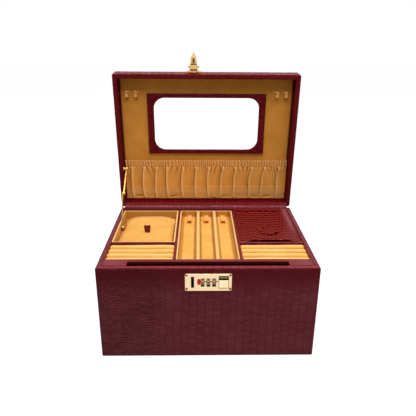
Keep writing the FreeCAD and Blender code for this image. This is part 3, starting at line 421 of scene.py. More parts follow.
def wander(across, along):
    """The slow drift of the scale rows over a hide, in millimetres."""
    return (across + 1.0 * np.sin(along / 31 + 0.7) + 0.6 * np.sin(across / 23 + along / 17),
            along + 1.4 * np.sin(across / 27 + 1.1) + 0.8 * np.sin(across / 11 - along / 29))


def belly_scales(across, along):
    """The belly of the hide: broad, even scales."""
    across, along = wander(across, along)
    return scales(across, along, scale_wide, scale_tall, jitter=0.25)


def emboss(piece, layout, deep):
    """Presses the scales into a wrapped hide and remembers line and tone for its colour."""
    gap, tone = layout(recall(piece, "flat_across"), recall(piece, "flat_along"))
    groove = np.clip(1 - gap / groove_wide, 0, 1)
    groove = groove * groove * (3 - 2 * groove)
    normals = np.empty(len(piece.data.vertices) * 3)
    piece.data.vertex_normals.foreach_get("vector", normals)
    put(piece, spots_of(piece) - normals.reshape(-1, 3) * (groove * deep * mm)[:, None])
    remember(piece, "groove", groove)
    remember(piece, "tone", tone)


# Embossed cowhide: aniline-dyed burgundy under a thin clear finish. The grooves show the deep dye, and the
# raised scales' tones are paler and greyer, a painted reflection haze laid into the colour. Its pores are
# drawn
# 1.3 mm apart, coarser than the real 0.3 mm, so that they show.
dye_cloud = 40 * mm
hide_pore = 1.3 * mm


def hide(name, relief, shade, light, line, haze, painted_light=None, flank=None, painted_highlight=None):
    """Burgundy leather between two tones, with its lines and scale tones from relief(tree).
    Of the two optional tones after haze, the first paints in more or less reflection where the piece's own
    share of that name says, the second is a painted highlight by its own share, and flank is the tone of its
    flank scales' lines."""
    material, tree, shader = surface(name)
    groove, tone = relief(tree)
    spot = place(tree, "TexCoord").outputs["Object"]
    patchy = {"Vector": spot, "Scale": 1 / dye_cloud, "Detail": 6, "Roughness": 0.72}
    cloud = place(tree, "TexNoise", patchy).outputs[0]
    grain = place(tree, "TexNoise", {"Vector": spot, "Scale": 1 / hide_pore, "Detail": 3}).outputs[0]
    uneven = place(tree, "Math", {0: tone, 1: 0.5, 2: cloud}, operation="MULTIPLY_ADD").outputs[0]
    part = place(tree, "MapRange", {"Value": uneven, "From Min": 0.3, "From Max": 1.2}).outputs[0]
    dye_and_haze = place(tree, "Mix", {0: part, 6: linear(shade), 7: linear(light)}, data_type="RGBA").outputs[2]
    for painted_name, painted in (("painted_light", painted_light), ("painted_highlight", painted_highlight)):
        if painted:
            share = place(tree, "Attribute", attribute_name=painted_name).outputs["Fac"]
            dye_and_haze = place(tree, "Mix", {0: share, 6: dye_and_haze, 7: linear(painted)}, data_type="RGBA").outputs[2]
    line = linear(line)
    if flank:
        share = place(tree, "Attribute", attribute_name="flank").outputs["Fac"]
        line = place(tree, "Mix", {0: share, 6: line, 7: linear(flank)}, data_type="RGBA").outputs[2]
    with_lines = place(tree, "Mix", {0: groove, 6: dye_and_haze, 7: line}, data_type="RGBA").outputs[2]
    sheen = place(tree, "MapRange", {"Value": groove, "To Min": 0.36, "To Max": 0.6}).outputs[0]
    pores = place(tree, "Math", {0: grain, 1: 0.2}, operation="MULTIPLY").outputs[0]
    height = place(tree, "Math", {0: pores, 1: groove}, operation="SUBTRACT").outputs[0]
    dent = place(tree, "Bump", {"Height": height, "Strength": 0.5, "Distance": 0.3 * mm})
    tree.links.new(with_lines, shader.inputs["Base Color"])
    tree.links.new(sheen, shader.inputs["Roughness"])
    tree.links.new(dent.outputs[0], shader.inputs["Normal"])
    shader.inputs["Specular IOR Level"].default_value = haze
    return material


def pressed(tree):
    """Grooves and tones that emboss left on the piece."""
    return [place(tree, "Attribute", attribute_name=name).outputs["Fac"] for name in ("groove", "tone")]


# Pressed hide: its two tones carry painted reflection haze; the first optional tone is the deep red without
# it, the second a painted highlight.
pressed_hide = hide("pressed_hide", pressed, "#63252B", "#7C3A41", "#6C1722", 0.06,
                    painted_light="#5A0A15", flank="#3E0B14", painted_highlight="#A0434C")
case_rows = (straight((0, case_foot), (0, rim_high - rim_round), case_step)
             + quarter((rim_round, rim_high - rim_round), rim_round, 180)
             + straight((rim_round + case_step, rim_high), (rim_turn, rim_high), case_step)
             + [np.array((rim_turn, rim_high))])
case_wrap = skin("case_wrap", case_half, case_front, case_back, rim_round, case_rows, case_step, False)
emboss(case_wrap, belly_scales, groove_deep)
thicken(case_wrap, hide_thick)
dress(case_wrap, pressed_hide)
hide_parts("case_leather")
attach(case_wrap, "case")

# Lower compartment linings: suede glued to card, dropped in and held by their own fit.
# The compartment is reached when the front falls open.

# Suede: split hide with a brushed nap, soft tan with paler and darker strokes and no gloss.
# Its creases carry painted shade and its crests a painted highlight, each where the piece's own share says.
# Its strokes are drawn 2.2 mm long, about what a finger leaves, and its clouds 24 mm across.
nap_cloud = 24 * mm
nap_stroke = 2.2 * mm


def suede(name, shade, light, crease, crest, marks=None):
    """Tan suede between two tones, with painted shade in its creases and a painted highlight on its crests.
    Marks(tree, spot) gives further shares of that shade and highlight, as pairs of a share and its tone's
    name."""
    material, tree, shader = surface(name)
    spot = place(tree, "TexCoord").outputs["Object"]
    cloud = place(tree, "TexNoise", {"Vector": spot, "Scale": 1 / nap_cloud, "Detail": 4}).outputs[0]
    fine = {"Vector": spot, "Scale": 1 / nap_stroke, "Detail": 5, "Roughness": 0.7}
    stroke = place(tree, "TexNoise", fine).outputs[0]
    brushed = place(tree, "Math", {0: cloud, 1: stroke}, operation="ADD").outputs[0]
    part = place(tree, "MapRange", {"Value": brushed, "From Min": 0.7, "From Max": 1.3}).outputs[0]
    tint = place(tree, "Mix", {0: part, 6: linear(shade), 7: linear(light)}, data_type="RGBA").outputs[2]
    tones = {"crease": linear(crease), "crest": linear(crest)}
    painted = [(place(tree, "Attribute", attribute_name=tone).outputs["Fac"], tone) for tone in tones]
    if marks:
        painted += marks(tree, spot)
    for share, tone in painted:
        tint = place(tree, "Mix", {0: share, 6: tint, 7: tones[tone]}, data_type="RGBA").outputs[2]
    dent = place(tree, "Bump", {"Height": stroke, "Strength": 0.35, "Distance": 0.25 * mm})
    tree.links.new(tint, shader.inputs["Base Color"])
    tree.links.new(dent.outputs[0], shader.inputs["Normal"])
    shader.inputs["Roughness"].default_value = 0.92
    shader.inputs["Specular IOR Level"].default_value = 0.1
    shader.inputs["Sheen Weight"].default_value = 0.2
    shader.inputs["Sheen Roughness"].default_value = 0.5
    shader.inputs["Sheen Tint"].default_value = linear("#FFE2B0")
    return material


tan_suede = suede("tan_suede", "#E2A24B", "#F5BC62", "#B56F22", "#F8D88E")
wear(tan_suede, "lower_floor_lining", "lower_side_linings", "lower_back_lining")

# Tray rails: the two decks, the partitions and the cross partitions, card wrapped in the same hide.
# They stand on the shelf and frame the suede trays. The same hide covers the shelf's edge, the
# walls' inner faces and the border of the front board.
drawn_scale = (8, 5, 5)
slot_edge = 134.7
slot_fade = 0.3
slot_front = -99.6


def drawn(tree):
    """Grooves and tones of scales too flat to model, on a piece wrapped straight over its board."""
    spot = place(tree, "TexCoord").outputs["Object"]
    sized = place(tree, "Mapping", {"Vector": spot, "Scale": [1 / (side * mm) for side in drawn_scale]})
    laid = {"Vector": sized.outputs[0], "Scale": 1, "Exponent": 4, "Randomness": 0.55}
    near = place(tree, "TexVoronoi", laid, distance="MINKOWSKI")
    far = place(tree, "TexVoronoi", laid, distance="MINKOWSKI", feature="F2")
    gap = place(tree, "Math", {0: far.outputs[0], 1: near.outputs[0]}, operation="SUBTRACT").outputs[0]
    groove = place(tree, "MapRange", {"Value": gap, "From Max": 0.2, "To Min": 1.0, "To Max": 0.0},
                   interpolation_type="SMOOTHSTEP").outputs[0]
    return groove, near.outputs["Color"]


def slotted(tree):
    """The deck's drawn lines, fainter, and painted shade on the cut walls of its finger slot, in the line
    tone.
    """
    groove, tone = drawn(tree)
    spot = place(tree, "TexCoord").outputs["Object"]
    where = place(tree, "SeparateXYZ", {0: spot}).outputs
    low = {"Value": where["Z"], "From Min": slot_edge * mm, "From Max": (slot_edge - slot_fade) * mm}
    below = place(tree, "MapRange", low).outputs[0]
    behind = {0: where["Y"], 1: slot_front * mm}
    inside = place(tree, "Math", behind, operation="GREATER_THAN").outputs[0]
    slot_shade = place(tree, "Math", {0: below, 1: inside}, operation="MULTIPLY").outputs[0]
    faint = place(tree, "Math", {0: groove, 1: 0.3}, operation="MULTIPLY").outputs[0]
    return place(tree, "Math", {0: slot_shade, 1: faint}, operation="MAXIMUM").outputs[0], tone


rail_hide = hide("rail_hide", drawn, "#74141D", "#84202A", "#620A14", 0.3)
wear(rail_hide, "left_partition", "right_partition", "left_cross_partition", "right_cross_partition",
     "left_wall", "right_wall", "back_wall", "tray_shelf", "front_board")
# Its line tone is also the painted shade inside the finger slot.
slot_hide = hide("slot_hide", slotted, "#74141D", "#84202A", "#420409", 0.3)
wear(slot_hide, "front_deck")
# The back deck's hide is a darker copy of the rail hide: painted shade under the hinge's roll.
shaded_deck_hide = hide("shaded_deck_hide", drawn, "#4E040C", "#5A0A12", "#400006", 0.1)
wear(shaded_deck_hide, "back_deck")

# Suede trays: the two wells and the three long channels, suede over pressed card.
# They carry painted shade on their far walls, which face the front, and on the sunk ledge, and a painted
# highlight along their top edges.
tray_top = 134.2
ledge_top = 122.2
channel_pitch = 27.8
channel_flat = 8.4


def tray_marks(tree, spot):
    """Shares of painted shade and painted highlight on a tray."""
    facing = place(tree, "SeparateXYZ", {0: place(tree, "TexCoord").outputs["Normal"]}).outputs["Y"]
    height = place(tree, "SeparateXYZ", {0: spot}).outputs["Z"]
    far = {"Value": facing, "From Min": -0.3, "From Max": -0.9, "To Max": 0.54}
    ledge_shade = {"Value": height, "From Min": (ledge_top + 1) * mm, "From Max": ledge_top * mm, "To Max": 0.85}
    painted_light = {"Value": height, "From Min": (tray_top - 1.5) * mm, "From Max": tray_top * mm, "To Max": 0.6}
    return [(place(tree, "MapRange", ends).outputs[0], tone)
            for ends, tone in ((far, "crease"), (ledge_shade, "crease"), (painted_light, "crest"))]


def channel_marks(tree, spot):
    """The same, with painted shade along both sides of each channel, where the floor rounds up."""
    across = place(tree, "SeparateXYZ", {0: spot}).outputs["X"]
    away = place(tree, "Math", {0: across, 1: channel_pitch / 2 * mm}, operation="PINGPONG").outputs[0]
    side = {"Value": away, "From Min": (channel_flat - 1) * mm, "From Max": channel_flat * mm, "To Max": 0.6}
    return [(place(tree, "MapRange", side).outputs[0], "crease")] + tray_marks(tree, spot)


# The third tray tone is the painted shade and the fourth the painted highlight.
tray_tones = ("#E2A24B", "#F5BC62", "#A86012", "#F8D88E")
well_suede = suede("well_suede", *tray_tones, tray_marks)
channel_suede = suede("channel_suede", *tray_tones, channel_marks)
wear(well_suede, "left_well_tray", "right_well_tray")
wear(channel_suede, "channel_tray")

# Channel tabs: three suede tongues, each a strip folded double and glued to the back wall.
# The front end stands clear of the floor, so that a bracelet can go under it.
tongue_wide = 7.6
tongue_back = 96
tongue_front = 66
tongue_root = 125.5
tongue_rise = 3.6
tongue_sag = 0.6
tongue_round = 1.2
tongue_thick = 0.9


def folded_strip(middle):
    """One tongue's places: along the top, round its front and back underneath."""
    run = tongue_back - tongue_front
    turn = math.pi * tongue_round
    whole = 2 * run + turn

    def bend(s, t):
        along = t * whole
        angle = np.clip((along - run) / tongue_round, 0, math.pi)
        back = np.where(along < run, tongue_back - along, tongue_front + np.maximum(along - run - turn, 0))
        share = (tongue_back - back) / run
        axis = tongue_root + tongue_rise * share - 4 * tongue_sag * share * (1 - share)
        x = middle + (s - 0.5) * tongue_wide
        return x, back - tongue_round * np.sin(angle), axis + tongue_round * np.cos(angle)

    return bend


def joined(name, parts):
    """Several meshes made into one piece."""
    bpy.ops.object.select_all(action="DESELECT")
    for part in parts:
        part.select_set(True)
    bpy.context.view_layer.objects.active = parts[0]
    bpy.ops.object.join()
    return called(parts[0], name)


tongues = [cells(f"tongue_{number}", 8, 60, folded_strip(number * channel_pitch)) for number in (-1, 0, 1)]
channel_tongues = joined("channel_tongues", tongues)
edited(channel_tongues, bpy.ops.mesh.flip_normals)
thicken(channel_tongues, tongue_thick)
dress(channel_tongues, tan_suede)
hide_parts("channel_tabs")
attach(channel_tongues, "case")

# Ring beds: four foam rolls under one suede cover in each front corner, tucked into the slits between.
# A ring's shank goes down between two rolls, and the foam holds it.
roll_count = 4
roll_top = 133.2
roll_valley = 126.4
bed_front = -83.5
bed_back = -31
bed_foot = 88
bed_clear = 0.1


def ring_bed(name, left, right, salt):
    """One bed: a rolled top with sides down to the shelf."""
    pitch = (bed_back - bed_front) / roll_count

    def rolls(s, t):
        x = left + bed_clear + (right - left - 2 * bed_clear) * s
        y = bed_front + bed_clear + (bed_back - bed_front - 2 * bed_clear) * t
        turn = (y - bed_front) / pitch
        number = np.clip(np.floor(turn), 0, roll_count - 1)
        offset = np.abs(2 * (turn - number) - 1)
        sway = 0.5 * np.sin(x / 13 + 2.1 * number + salt) + 0.25 * np.sin(x / 5.7 + 4.3 * number)
        crown = roll_top + 0.3 * np.sin(x / 21 + 1.7 * number + salt)
        pucker = 0.3 * np.sin(x / 1.3 + 3 * number) * np.clip(offset * 2.2 - 1.1, 0, 1)
        round_top = np.sqrt(np.clip(1 - (offset * 0.985) ** 2.2, 0, 1))
        ends = np.minimum(s, 1 - s) * (right - left)
        z = roll_valley + (crown - roll_valley) * round_top + pucker - np.exp(-ends / 1.5)
        # Painted shade in the slits between the rolls and painted highlight along their crowns.
        rolls.crease = np.clip((offset - 0.55) / 0.45, 0, 1) ** 1.5
        rolls.crest = 0.75 * np.clip(1 - offset / 0.55, 0, 1) * np.clip(ends / 3, 0, 1)
        return x, y + sway * (1 - offset), z

    bed = cells(name, 110, 84, rolls)
    remember(bed, "crease", rolls.crease)
    remember(bed, "crest", rolls.crest)
    edited(bed, bpy.ops.mesh.region_to_loop)
    bpy.ops.object.mode_set(mode="EDIT")
    bpy.ops.mesh.extrude_edges_move()
    bpy.ops.object.mode_set(mode="OBJECT")
    picked = np.array([vertex.select for vertex in bed.data.vertices])
    spots = spots_of(bed)
    spots[picked, 2] = bed_foot * mm
    put(bed, spots)
    bpy.ops.object.mode_set(mode="EDIT")
    bpy.ops.mesh.edge_face_add()
    bpy.ops.object.mode_set(mode="OBJECT")
    edited(bed, bpy.ops.mesh.normals_make_consistent, inside=False)
    dress(bed, tan_suede)
    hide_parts(name.replace("_rolls", "_ring_bed"))
    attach(bed, "case")


ring_bed("left_rolls", -138, -47, 0.0)
ring_bed("right_rolls", 47, 138, 2.6)

# Well cover: a loose suede pad over the left well, foam on card with its cover drawn over the edge.
# The suede gathers in small puckers where it is pulled round the rounded corners.
cover_voxel = 2 * mm
cover_pressure = 4
cover_frames = 20
cover_swell = 1.2 * mm
cover_middle = -90.35
cover_half = 40.15
cover_back = 89
cover_round = 24
cover_low = 121.6
gather_pitch = 4.2
gather_from = 45
gather_full = 75
gather_long = 12
gather_tall = 1.0
gather_out = 0.9
scallop_long = 3
seam_in = 5
seam_half = 0.9
seam_shade = 0.45
flare_from = 34
flare_full = 26
flare_out = 2.2


def rise(low, high, value):
    """Nought below low, one above high and smooth between."""
    share = np.clip((value - low) / (high - low), 0, 1)
    return share * share * (3 - 2 * share)


def merged_copy(name, node):
    """A piece that starts as a copy of a CAD node, with its loose triangles joined."""
    piece = nodes[node].copy()
    piece.data = nodes[node].data.copy()
    for key in list(piece.keys()):
        del piece[key]
    piece.parent = None
    bpy.context.scene.collection.objects.link(called(piece, name))
    bpy.ops.object.select_all(action="DESELECT")
    piece.select_set(True)
    edited(piece, bpy.ops.mesh.remove_doubles, threshold=weld_gap)
    return piece


def inflate(piece, voxel, pressure, swell):
    """Blows a pad up as cloth with gravity off, and lets no point move further than swell."""
    piece.data.remesh_voxel_size = voxel
    bpy.ops.object.voxel_remesh()
    start = spots_of(piece)
    cloth = piece.modifiers.new("Cloth", "CLOTH")
    cloth.settings.use_pressure = True
    cloth.settings.uniform_pressure_force = pressure
    cloth.settings.effector_weights.gravity = 0
    cloth.point_cache.frame_end = cover_frames
    for number in range(1, cover_frames + 1):
        bpy.context.scene.frame_set(number)
    blown = piece.evaluated_get(bpy.context.evaluated_depsgraph_get()).data
    moved = np.empty(len(start) * 3)
    blown.vertices.foreach_get("co", moved)
    step = moved.reshape(-1, 3) - start
    length = np.linalg.norm(step, axis=1, keepdims=True)
    piece.modifiers.remove(cloth)
    bpy.context.scene.frame_set(1)
    put(piece, start + step * np.minimum(1, swell / np.maximum(length, 1e-9)))


well_cover = merged_copy("padded_cover", "well_cover")
inflate(well_cover, cover_voxel, cover_pressure, cover_swell)
finer = well_cover.modifiers.new("Finer", "SUBSURF")
finer.levels = finer.render_levels = 1
bpy.ops.object.modifier_apply(modifier="Finer")
places = spots_of(well_cover)
x, y, z = (places / mm).T
over_side = np.maximum(np.abs(x - cover_middle) - (cover_half - cover_round), 0)
over_back = np.maximum(y - (cover_back - cover_round), 0)
edge_gap = np.maximum(cover_round - np.hypot(over_side, over_back), 0)
gathers = np.sin(2 * math.pi * (x + 0.5 * y) / gather_pitch + 1.3 * np.sin(x / 9))
at_back = rise(gather_from, gather_full, y)
drawn_in = np.exp(-edge_gap / gather_long) * at_back
scallop = gather_out * mm * gathers * np.exp(-edge_gap / scallop_long) * at_back
reach = np.maximum(np.hypot(over_side, over_back), 1)
places[:, 0] += scallop * np.sign(x - cover_middle) * over_side / reach
flare = rise(flare_from, flare_full, y) * rise(cover_middle, cover_middle - cover_half, x)
places[:, 0] -= flare_out * mm * flare
places[:, 1] += scallop * over_back / reach
places[:, 2] += gather_tall * mm * gathers * drawn_in * rise(cover_low, cover_low + 2, z)
put(well_cover, places)
# Painted shade in the puckers' hollows and in a line just inside the edge, and painted highlight on their
# ridges.
seam = seam_shade * np.exp(-((edge_gap - seam_in) / seam_half) ** 2)
remember(well_cover, "crease", np.clip(np.clip(-1.5 * gathers, 0, 1) * drawn_in + seam, 0, 1))
remember(well_cover, "crest", np.clip(1.5 * gathers, 0, 1) * drawn_in)
dress(well_cover, tan_suede)
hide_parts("well_cover")
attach(well_cover, "cover")
wear(rail_hide, "cover_tab")

# Well flap: a leaf of the same hide over the right well, hinged along its back edge.
# The hide is glued on to the back deck and folds at the deck's edge. Its front edge bows up for a finger.
flap_left = 47.3
flap_right = 137.7
flap_front = -27
flap_fold = 96.8
flap_back = 103.6
flap_seat = 134.1
flap_step_up = 1.95
flap_bow = 4.0
flap_thick = 1.0
flap_step = 1.0
ridge_tall = 0.25
row_front = 5.5
row_back = 9.5
row_across = 12
whorl_turn = 1.9
swirl_middle = (90, 16)
swirl_spread = 110
fold_half = 0.8
step_long = 10
shine_middle = 133
shine_half = 4.5
shine_from = -10
shine_full = 50
shine_share = 0.55


def flap_height(x, y):
    """The flap's upper face, flat at the hinge and bowed along the front."""
    s = (x - flap_left) / (flap_right - flap_left)
    t = np.minimum((y - flap_front) / (flap_fold - flap_front), 1)
    bowed = flap_seat + flap_bow * (1 - (2 * s - 1) ** 2) * (1 - t) ** 1.5
    return bowed + flap_step_up * rise(flap_fold - step_long, flap_fold + fold_half, y)


def flap_leaf(s, t):
    """The flap's places."""
    x = flap_left + (flap_right - flap_left) * s
    y = flap_front + (flap_back - flap_front) * t
    return x, y, flap_height(x, y)


def whorled(across, along, middle, spread):
    """Places turned about a whorl in the hide, most at its middle."""
    away_across = across - middle[0]
    away_along = along - middle[1]
    turn = whorl_turn * np.exp(-(away_across ** 2 + away_along ** 2) / spread)
    return (middle[0] + away_across * np.cos(turn) - away_along * np.sin(turn),
            middle[1] + away_across * np.sin(turn) + away_along * np.cos(turn))


def flank_rows(across, along):
    """The flank of the hide: level rows that narrow towards the front, with a whorl by the pull."""
    across, along = whorled(across, along, swirl_middle, swirl_spread)
    along = along + 0.9 * np.sin(across / 8.3) + 0.5 * np.sin(across / 3.7 + along / 6)
    slope = (row_back - row_front) / (flap_fold - flap_front)
    pitch = np.maximum(row_front + slope * (along - flap_front), 2)
    rank = np.log(pitch / row_front) / slope
    row = np.floor(rank)
    column = across / row_across + 0.37 * row
    level_gap = 1.8 * np.minimum(rank - row, row + 1 - rank) * pitch
    upright_gap = np.minimum(column % 1, 1 - column % 1) * row_across
    return np.minimum(level_gap, upright_gap + groove_wide / 2), scatter(np.floor(column), row, 3)


def laid_hide(name, across, along, shape, thick):
    """A flat leaf of ridged hide: laid by shape, embossed and given its thickness."""
    piece = cells(name, across, along, shape)
    remember(piece, "flat_across", spots_of(piece)[:, 0] / mm)
    remember(piece, "flat_along", spots_of(piece)[:, 1] / mm)
    emboss(piece, flank_rows, -ridge_tall)
    thicken(piece, thick)
    dress(piece, flap_hide)
    return piece


# Flap hide: its pale line tone is a painted highlight on the raised ridges, and its first optional tone a
# painted sheen.
flap_hide = hide("flap_hide", pressed, "#4E0000", "#5E0000", "#B24E4A", 0.02, painted_light="#9A6266")
flap = laid_hide("hide_flap", round((flap_right - flap_left) / flap_step),
                 round((flap_back - flap_front) / flap_step), flap_leaf, flap_thick)
across, along = recall(flap, "flat_across"), recall(flap, "flat_along")
# Painted sheen in a band along the flap's right edge.
painted_shine = shine_share * np.exp(-((across - shine_middle) / shine_half) ** 2)
remember(flap, "painted_light", painted_shine * rise(shine_from, shine_full, along))
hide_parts("well_flap")
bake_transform(flap)

# Flap pull: a tongue of the same hide, cut to a blunt point and glued to the flap at its back.
# Its front edge curls up, most at the right, where fingers have lifted it.
pull_left = 78
pull_right = 108
pull_point = 93
pull_back = 16
pull_front = -12
pull_slant = 10
pull_lift = 2.4
curl_from = 94
curl_full = 103
pull_gap = 0.15
pull_thick = 0.8


def flap_pull(s, t):
    """The tongue's upper face, lying on the flap and lifting at its right front corner."""
    x = pull_left + (pull_right - pull_left) * s
    front = pull_front + pull_slant * (np.abs(x - pull_point) / (pull_right - pull_point)) ** 1.3
    y = front + (pull_back - front) * t
    curl = pull_lift * (0.2 + 0.8 * rise(curl_from, curl_full, x)) * (1 - t) ** 3
    return x, y, flap_height(x, y) + pull_gap + pull_thick * rise(1, 0.8, t) + curl


pull = laid_hide("flap_pull", 40, 44, flap_pull, pull_thick)
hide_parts("flap_tab")
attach(pull, "flap")

# Lid: four rim boards and a panel, wrapped in one piece of hide and lined with suede.
# It is shaped shut, over the case, and then stood open on its hinge line.
lid_joint = next(joint for joint in frame["joints"] if joint["name"] == "lid_hinge")
lid_pivot = Vector(lid_joint["pos_m"])
lid_turn = Matrix.Rotation(math.radians(-lid_joint["range_deg"][0]), 4, Vector(lid_joint["axis"]))
lid_open = Matrix.Translation(lid_pivot) @ lid_turn @ Matrix.Translation(-lid_pivot)
lid_rim = 136.7
lid_rim_round = 1
lid_top = 163.7
lid_top_round = 2.5
haze_free_fade = (1, 8)
lining_end = 137
end_shade_wide = 2.4
lid_rows = (straight((rim_turn, lid_rim), (lid_rim_round, lid_rim), case_step)
            + quarter((lid_rim_round, lid_rim + lid_rim_round), lid_rim_round, 270)
            + straight((0, lid_rim + lid_rim_round + case_step), (0, lid_top - lid_top_round), case_step)
            + quarter((lid_top_round, lid_top - lid_top_round), lid_top_round, 180))
lid_wrap = skin("lid_wrap", case_half, -case_back, case_back, lid_top_round, lid_rows, case_step, True,
                lid_top)
# Lid hide: its tones carry painted reflection haze, and its first optional tone is the deeper red without it.
lid_hide = hide("lid_hide", pressed, "#5C1C22", "#742F36", "#58060F", 0.07, painted_light="#690D16")
lined_hide = hide("lined_hide", drawn, "#64060C", "#740A10", "#540408", 0.02)
emboss(lid_wrap, belly_scales, groove_deep)
# Painted reflection: the walls below the top edge take the haze-free red, and the top keeps the hazy tones.
on_rim = rise(*haze_free_fade, lid_top - spots_of(lid_wrap)[:, 2] / mm)
remember(lid_wrap, "painted_light", on_rim * (0.75 + 0.25 * recall(lid_wrap, "tone")))
thicken(lid_wrap, hide_thick)
lid_wrap.data.transform(lid_open)
dress(lid_wrap, lid_hide)
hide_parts("lid_leather")
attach(lid_wrap, "lid")
wear(lined_hide, "lid_left_wall", "lid_right_wall", "lid_front_wall", "lid_back_wall")


def lining_marks(tree, spot):
    """Painted shade along both ends, where the lining meets the lid's walls."""
    across = place(tree, "SeparateXYZ", {0: spot}).outputs["X"]
    away = place(tree, "Math", {0: across}, operation="ABSOLUTE").outputs[0]
    end = {"Value": away, "From Min": (lining_end - end_shade_wide) * mm, "From Max": lining_end * mm}
    return [(place(tree, "MapRange", end).outputs[0], "crease")]


# A darker, more saturated copy of the tray suede, painted shade on the lining standing upright in the open
# lid, with a near-black tone at its ends.
shaded_lid_suede = suede("shaded_lid_suede", "#D08A33", "#E49F45", "#2E1407", "#EDB463", lining_marks)
wear(shaded_lid_suede, "lid_lining")

# Lid hinge: one strip of hide glued to both back rims and folding between them.
# It lies on the case's rim, turns up in a small cove and runs up the lid's rim.
hinge_half = 139.4
hinge_lie = 135.6
hinge_thick = 0.7
hinge_inner = 104.5
hinge_fold = 111.5
hinge_rise = 143.4
hinge_round = 5


def hinge_sheet(s, t):
    """From the case's rim, round the fold and up the lid's rim."""
    run = hinge_fold - hinge_round - hinge_inner
    turn = math.pi / 2 * hinge_round
    climb = hinge_rise - hinge_lie - hinge_thick - hinge_round
    along = t * (run + turn + climb)
    angle = np.clip((along - run) / hinge_round, 0, math.pi / 2)
    y = hinge_inner + np.minimum(along, run) + hinge_round * np.sin(angle)
    z = hinge_lie + hinge_thick + hinge_round * (1 - np.cos(angle)) + np.maximum(along - run - turn, 0)
    return (2 * s - 1) * hinge_half, y, z


lid_hinge = cells("lid_hinge_leather", 180, 16, hinge_sheet)
thicken(lid_hinge, hinge_thick)
dress(lid_hinge, rail_hide)
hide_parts("hinge_strip_case", "hinge_strip_lid")
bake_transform(lid_hinge)

# Mirror: float glass silvered at its back, held in the lid by a frame of card wrapped in hide.
# It shows the room sharp and very slightly green, with a faint unevenness 15 mm across in its polish.
polish_cloud = 15 * mm
frame_hide = hide("frame_hide", drawn, "#640F19", "#721924", "#540A12", 0.05)
wear(frame_hide, "mirror_frame")
silver, tree, shader = surface("silvered_glass")
spot = place(tree, "TexCoord").outputs["Object"]
polish = place(tree, "TexNoise", {"Vector": spot, "Scale": 1 / polish_cloud, "Detail": 2}).outputs[0]
smooth = place(tree, "MapRange", {"Value": polish, "To Min": 0.01, "To Max": 0.035}).outputs[0]
tree.links.new(smooth, shader.inputs["Roughness"])
shader.inputs["Base Color"].default_value = linear("#FBFDFC")
shader.inputs["Metallic"].default_value = 1
wear(silver, "mirror_glass")

# Lid pocket: a soft suede cloth pocket gathered on an elastic header and sewn to the lining.
# The cloth hangs full below the header in a dozen upright folds, each lapped over to the left.
pocket_half = 136.6
pocket_low = 7.4
pocket_high = 78.2
pocket_band = 12
pocket_thick = 0.6
pocket_clear = 1.0
pocket_full = 2.6
lining_face = 155.2
fold_places = (-127.8, -108, -87.8, -68.7, -42.3, -20.2, 1.6, 24.4, 45.9, 73.3, 94.3, 119.7)
fold_tall = 2.2
fold_wide = 3.4
lap_wide = 0.5
ruffle_pitch = 4.3


